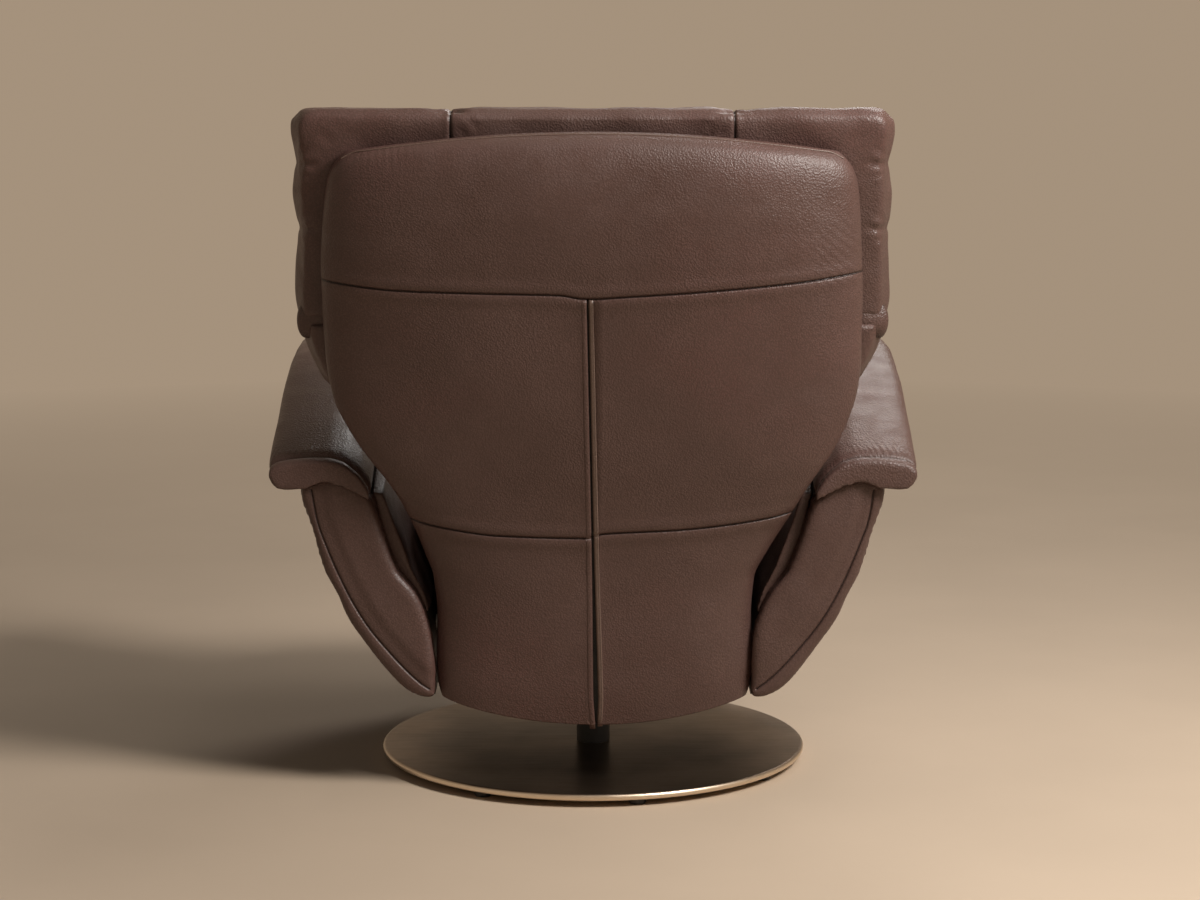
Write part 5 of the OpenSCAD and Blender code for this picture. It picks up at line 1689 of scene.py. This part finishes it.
def shell_faces(rows: int, cols: int) -> list[Face]:
    """Give the faces of a closed shell between two grids of points.

    Args:
        rows: Rows of each grid.
        cols: Columns of each grid.

    Returns:
        Faces over the outer grid, the inner grid and their rims.
    """
    half = rows * cols
    faces = []
    for j in range(rows - 1):
        for i in range(cols - 1):
            a = j * cols + i
            faces.append((a, a + 1, a + cols + 1, a + cols))
            faces.append((half + a, half + a + cols, half + a + cols + 1, half + a + 1))
    rim = list(range(cols)) + list(range(2 * cols - 1, half, cols))
    rim += list(range(half - 2, half - cols - 1, -1)) + list(range(half - 2 * cols, 0, -cols))
    for a, b in zip(rim, rim[1:] + rim[:1]):
        faces.append((b, a, half + a, half + b))
    return faces


@dataclass
class HardParts:
    """The frame's own rigid nodes, which keep their shape and take their finish."""

    frame: dict
    finishes: Finishes
    stained: tuple[str, ...] = ("arm_core", "head_plate", "legrest_board", "flap_board")

    def build(self) -> None:
        """Dress every node by the record's slots."""
        slots = {row["node"]: row["material_slot"] for row in self.frame["record"]["subparts"]}
        for name, node in self.frame["nodes"].items():
            node.data.materials.clear()
            stained = name.startswith(self.stained)
            finish = self.finishes.stained_wood if stained else self.finishes.by_slot[Slot(slots[name])]
            node.data.materials.append(finish)


@dataclass(frozen=True)
class Lamp:
    """A square soft lamp."""

    name: str
    place: Point
    aim: Point
    size: float
    power: float
    colour: Colour

    def hang(self) -> None:
        """Hang the lamp so that it looks at its aim."""
        data = bpy.data.lights.new(self.name, "AREA")
        data.shape = "SQUARE"
        data.size = self.size
        data.energy = self.power
        data.color = self.colour
        lamp = placed(self.name, data)
        lamp.location = self.place
        lamp.rotation_euler = (Vector(self.aim) - Vector(self.place)).to_track_quat("-Z", "Y").to_euler()


@dataclass
class Studio:
    """The pale floor, the soft lamps and the camera."""

    eye: Point = (-0.0106, 4.5, 1.1745)
    pitch_down: float = math.radians(8.852)
    lens: float = 89.415
    sensor: float = 36.0
    floor_half: float = 40.0
    floor_tint: Colour = (0.53, 0.418, 0.312)
    air: Colour = (0.375, 0.286, 0.203)
    fade_start: float = 1.3
    fade_end: float = 4.5
    light_tint: Colour = (1.0, 0.95, 0.88)
    light_level: float = 0.07
    lamps: tuple[Lamp, ...] = (
        Lamp("key", (-1.75, 1.4, 2.3), (0, 0, 0.8), 0.9, 104.0, (1.0, 0.96, 0.915)),
        Lamp("fill", (3.2, 2.6, 1.9), (0, 0, 0.5), 2.6, 2.0, (0.97, 0.98, 1.0)),
        Lamp("top", (-1.1, 0.4, 3.6), (0, 0, 0.5), 2.2, 20.0, (1.0, 0.98, 0.96)),
        Lamp("front", (-1.1, -3.4, 3.1), (0, 0, 0.5), 1.5, 42.0, (1.0, 0.975, 0.95)),
    )

    def floor(self) -> None:
        """Lay the pale floor, which fades into the surroundings away from the chair."""
        n = Nodes("pale_floor")
        tint = n.blend(n.spread(n.noise(1.6, 5.0), 0.38, 0.68, 0.0, 1.0), self.floor_tint,
                       tuple(c * 0.93 for c in self.floor_tint))
        material = n.close(tint, 0.8, n.bump(n.noise(60.0, 3.0), 0.0004, 0.1), Specular_IOR_Level=0.2)
        away = n.add("ShaderNodeVectorMath", operation="LENGTH", Vector=n.place)
        far = n.result("ShaderNodeEmission", Color=self.air, Strength=1.0)
        share = n.spread(away.outputs["Value"], self.fade_start, self.fade_end, 0.0, 1.0)
        mixed = n.result("ShaderNodeMixShader", share, n.shader.outputs[0], far)
        n.feed(mixed, n.tree.nodes["Material Output"].inputs["Surface"])
        bpy.ops.object.select_all(action="DESELECT")
        bpy.ops.mesh.primitive_plane_add(size=2 * self.floor_half, location=(0, 0, 0))
        floor = bpy.context.view_layer.objects.active
        floor.name = "studio_floor"
        floor.data.materials.append(material)

    def sky(self) -> None:
        """Set the pale surroundings: seen at their own colour, and soft as light."""
        world = bpy.data.worlds.new("studio")
        bpy.context.scene.world = world
        n = Tree(world)
        seen = n.tree.nodes["Background"]
        n.feed(self.air, seen.inputs["Color"])
        light = n.result("ShaderNodeBackground", Color=self.light_tint, Strength=self.light_level)
        path = n.add("ShaderNodeLightPath")
        share = path.outputs["Is Camera Ray"]
        for ray in ("Is Glossy Ray", "Is Transmission Ray"):
            share = n.result("ShaderNodeMath", share, path.outputs[ray], operation="MAXIMUM")
        mixed = n.result("ShaderNodeMixShader", share, light, seen.outputs[0])
        n.feed(mixed, n.tree.nodes["World Output"].inputs["Surface"])

    def camera(self) -> None:
        """Set the camera at the photograph's place and angle."""
        data = bpy.data.cameras.new("camera")
        data.lens = self.lens
        data.sensor_width = self.sensor
        camera = placed("camera", data)
        camera.location = self.eye
        camera.rotation_euler = (math.pi / 2 - self.pitch_down, 0, math.pi)
        bpy.context.scene.camera = camera

    def build(self) -> None:
        """Build the studio."""
        self.camera()
        self.floor()
        self.sky()
        for lamp in self.lamps:
            lamp.hang()
        bpy.context.scene.view_settings.view_transform = "Standard"


def main() -> None:
    """Build the chair around the frame, piece by piece."""
    logging.basicConfig(level=logging.INFO, format="%(message)s")
    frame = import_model()
    bpy.ops.object.select_all(action="DESELECT")
    Studio().build()
    finishes = Finishes()
    HardParts(frame, finishes).build()
    shop = Upholstery(frame, finishes)
    HeadCushion(shop).build()
    BackCushion(shop).build()
    FoldGusset(finishes).build()
    SeatCushion(shop).build()
    LegRest(shop).build()
    for side in (1, -1):
        ArmRest(shop, side).build()
    RearCover(finishes).build()


if __name__ == "__main__":
    main()
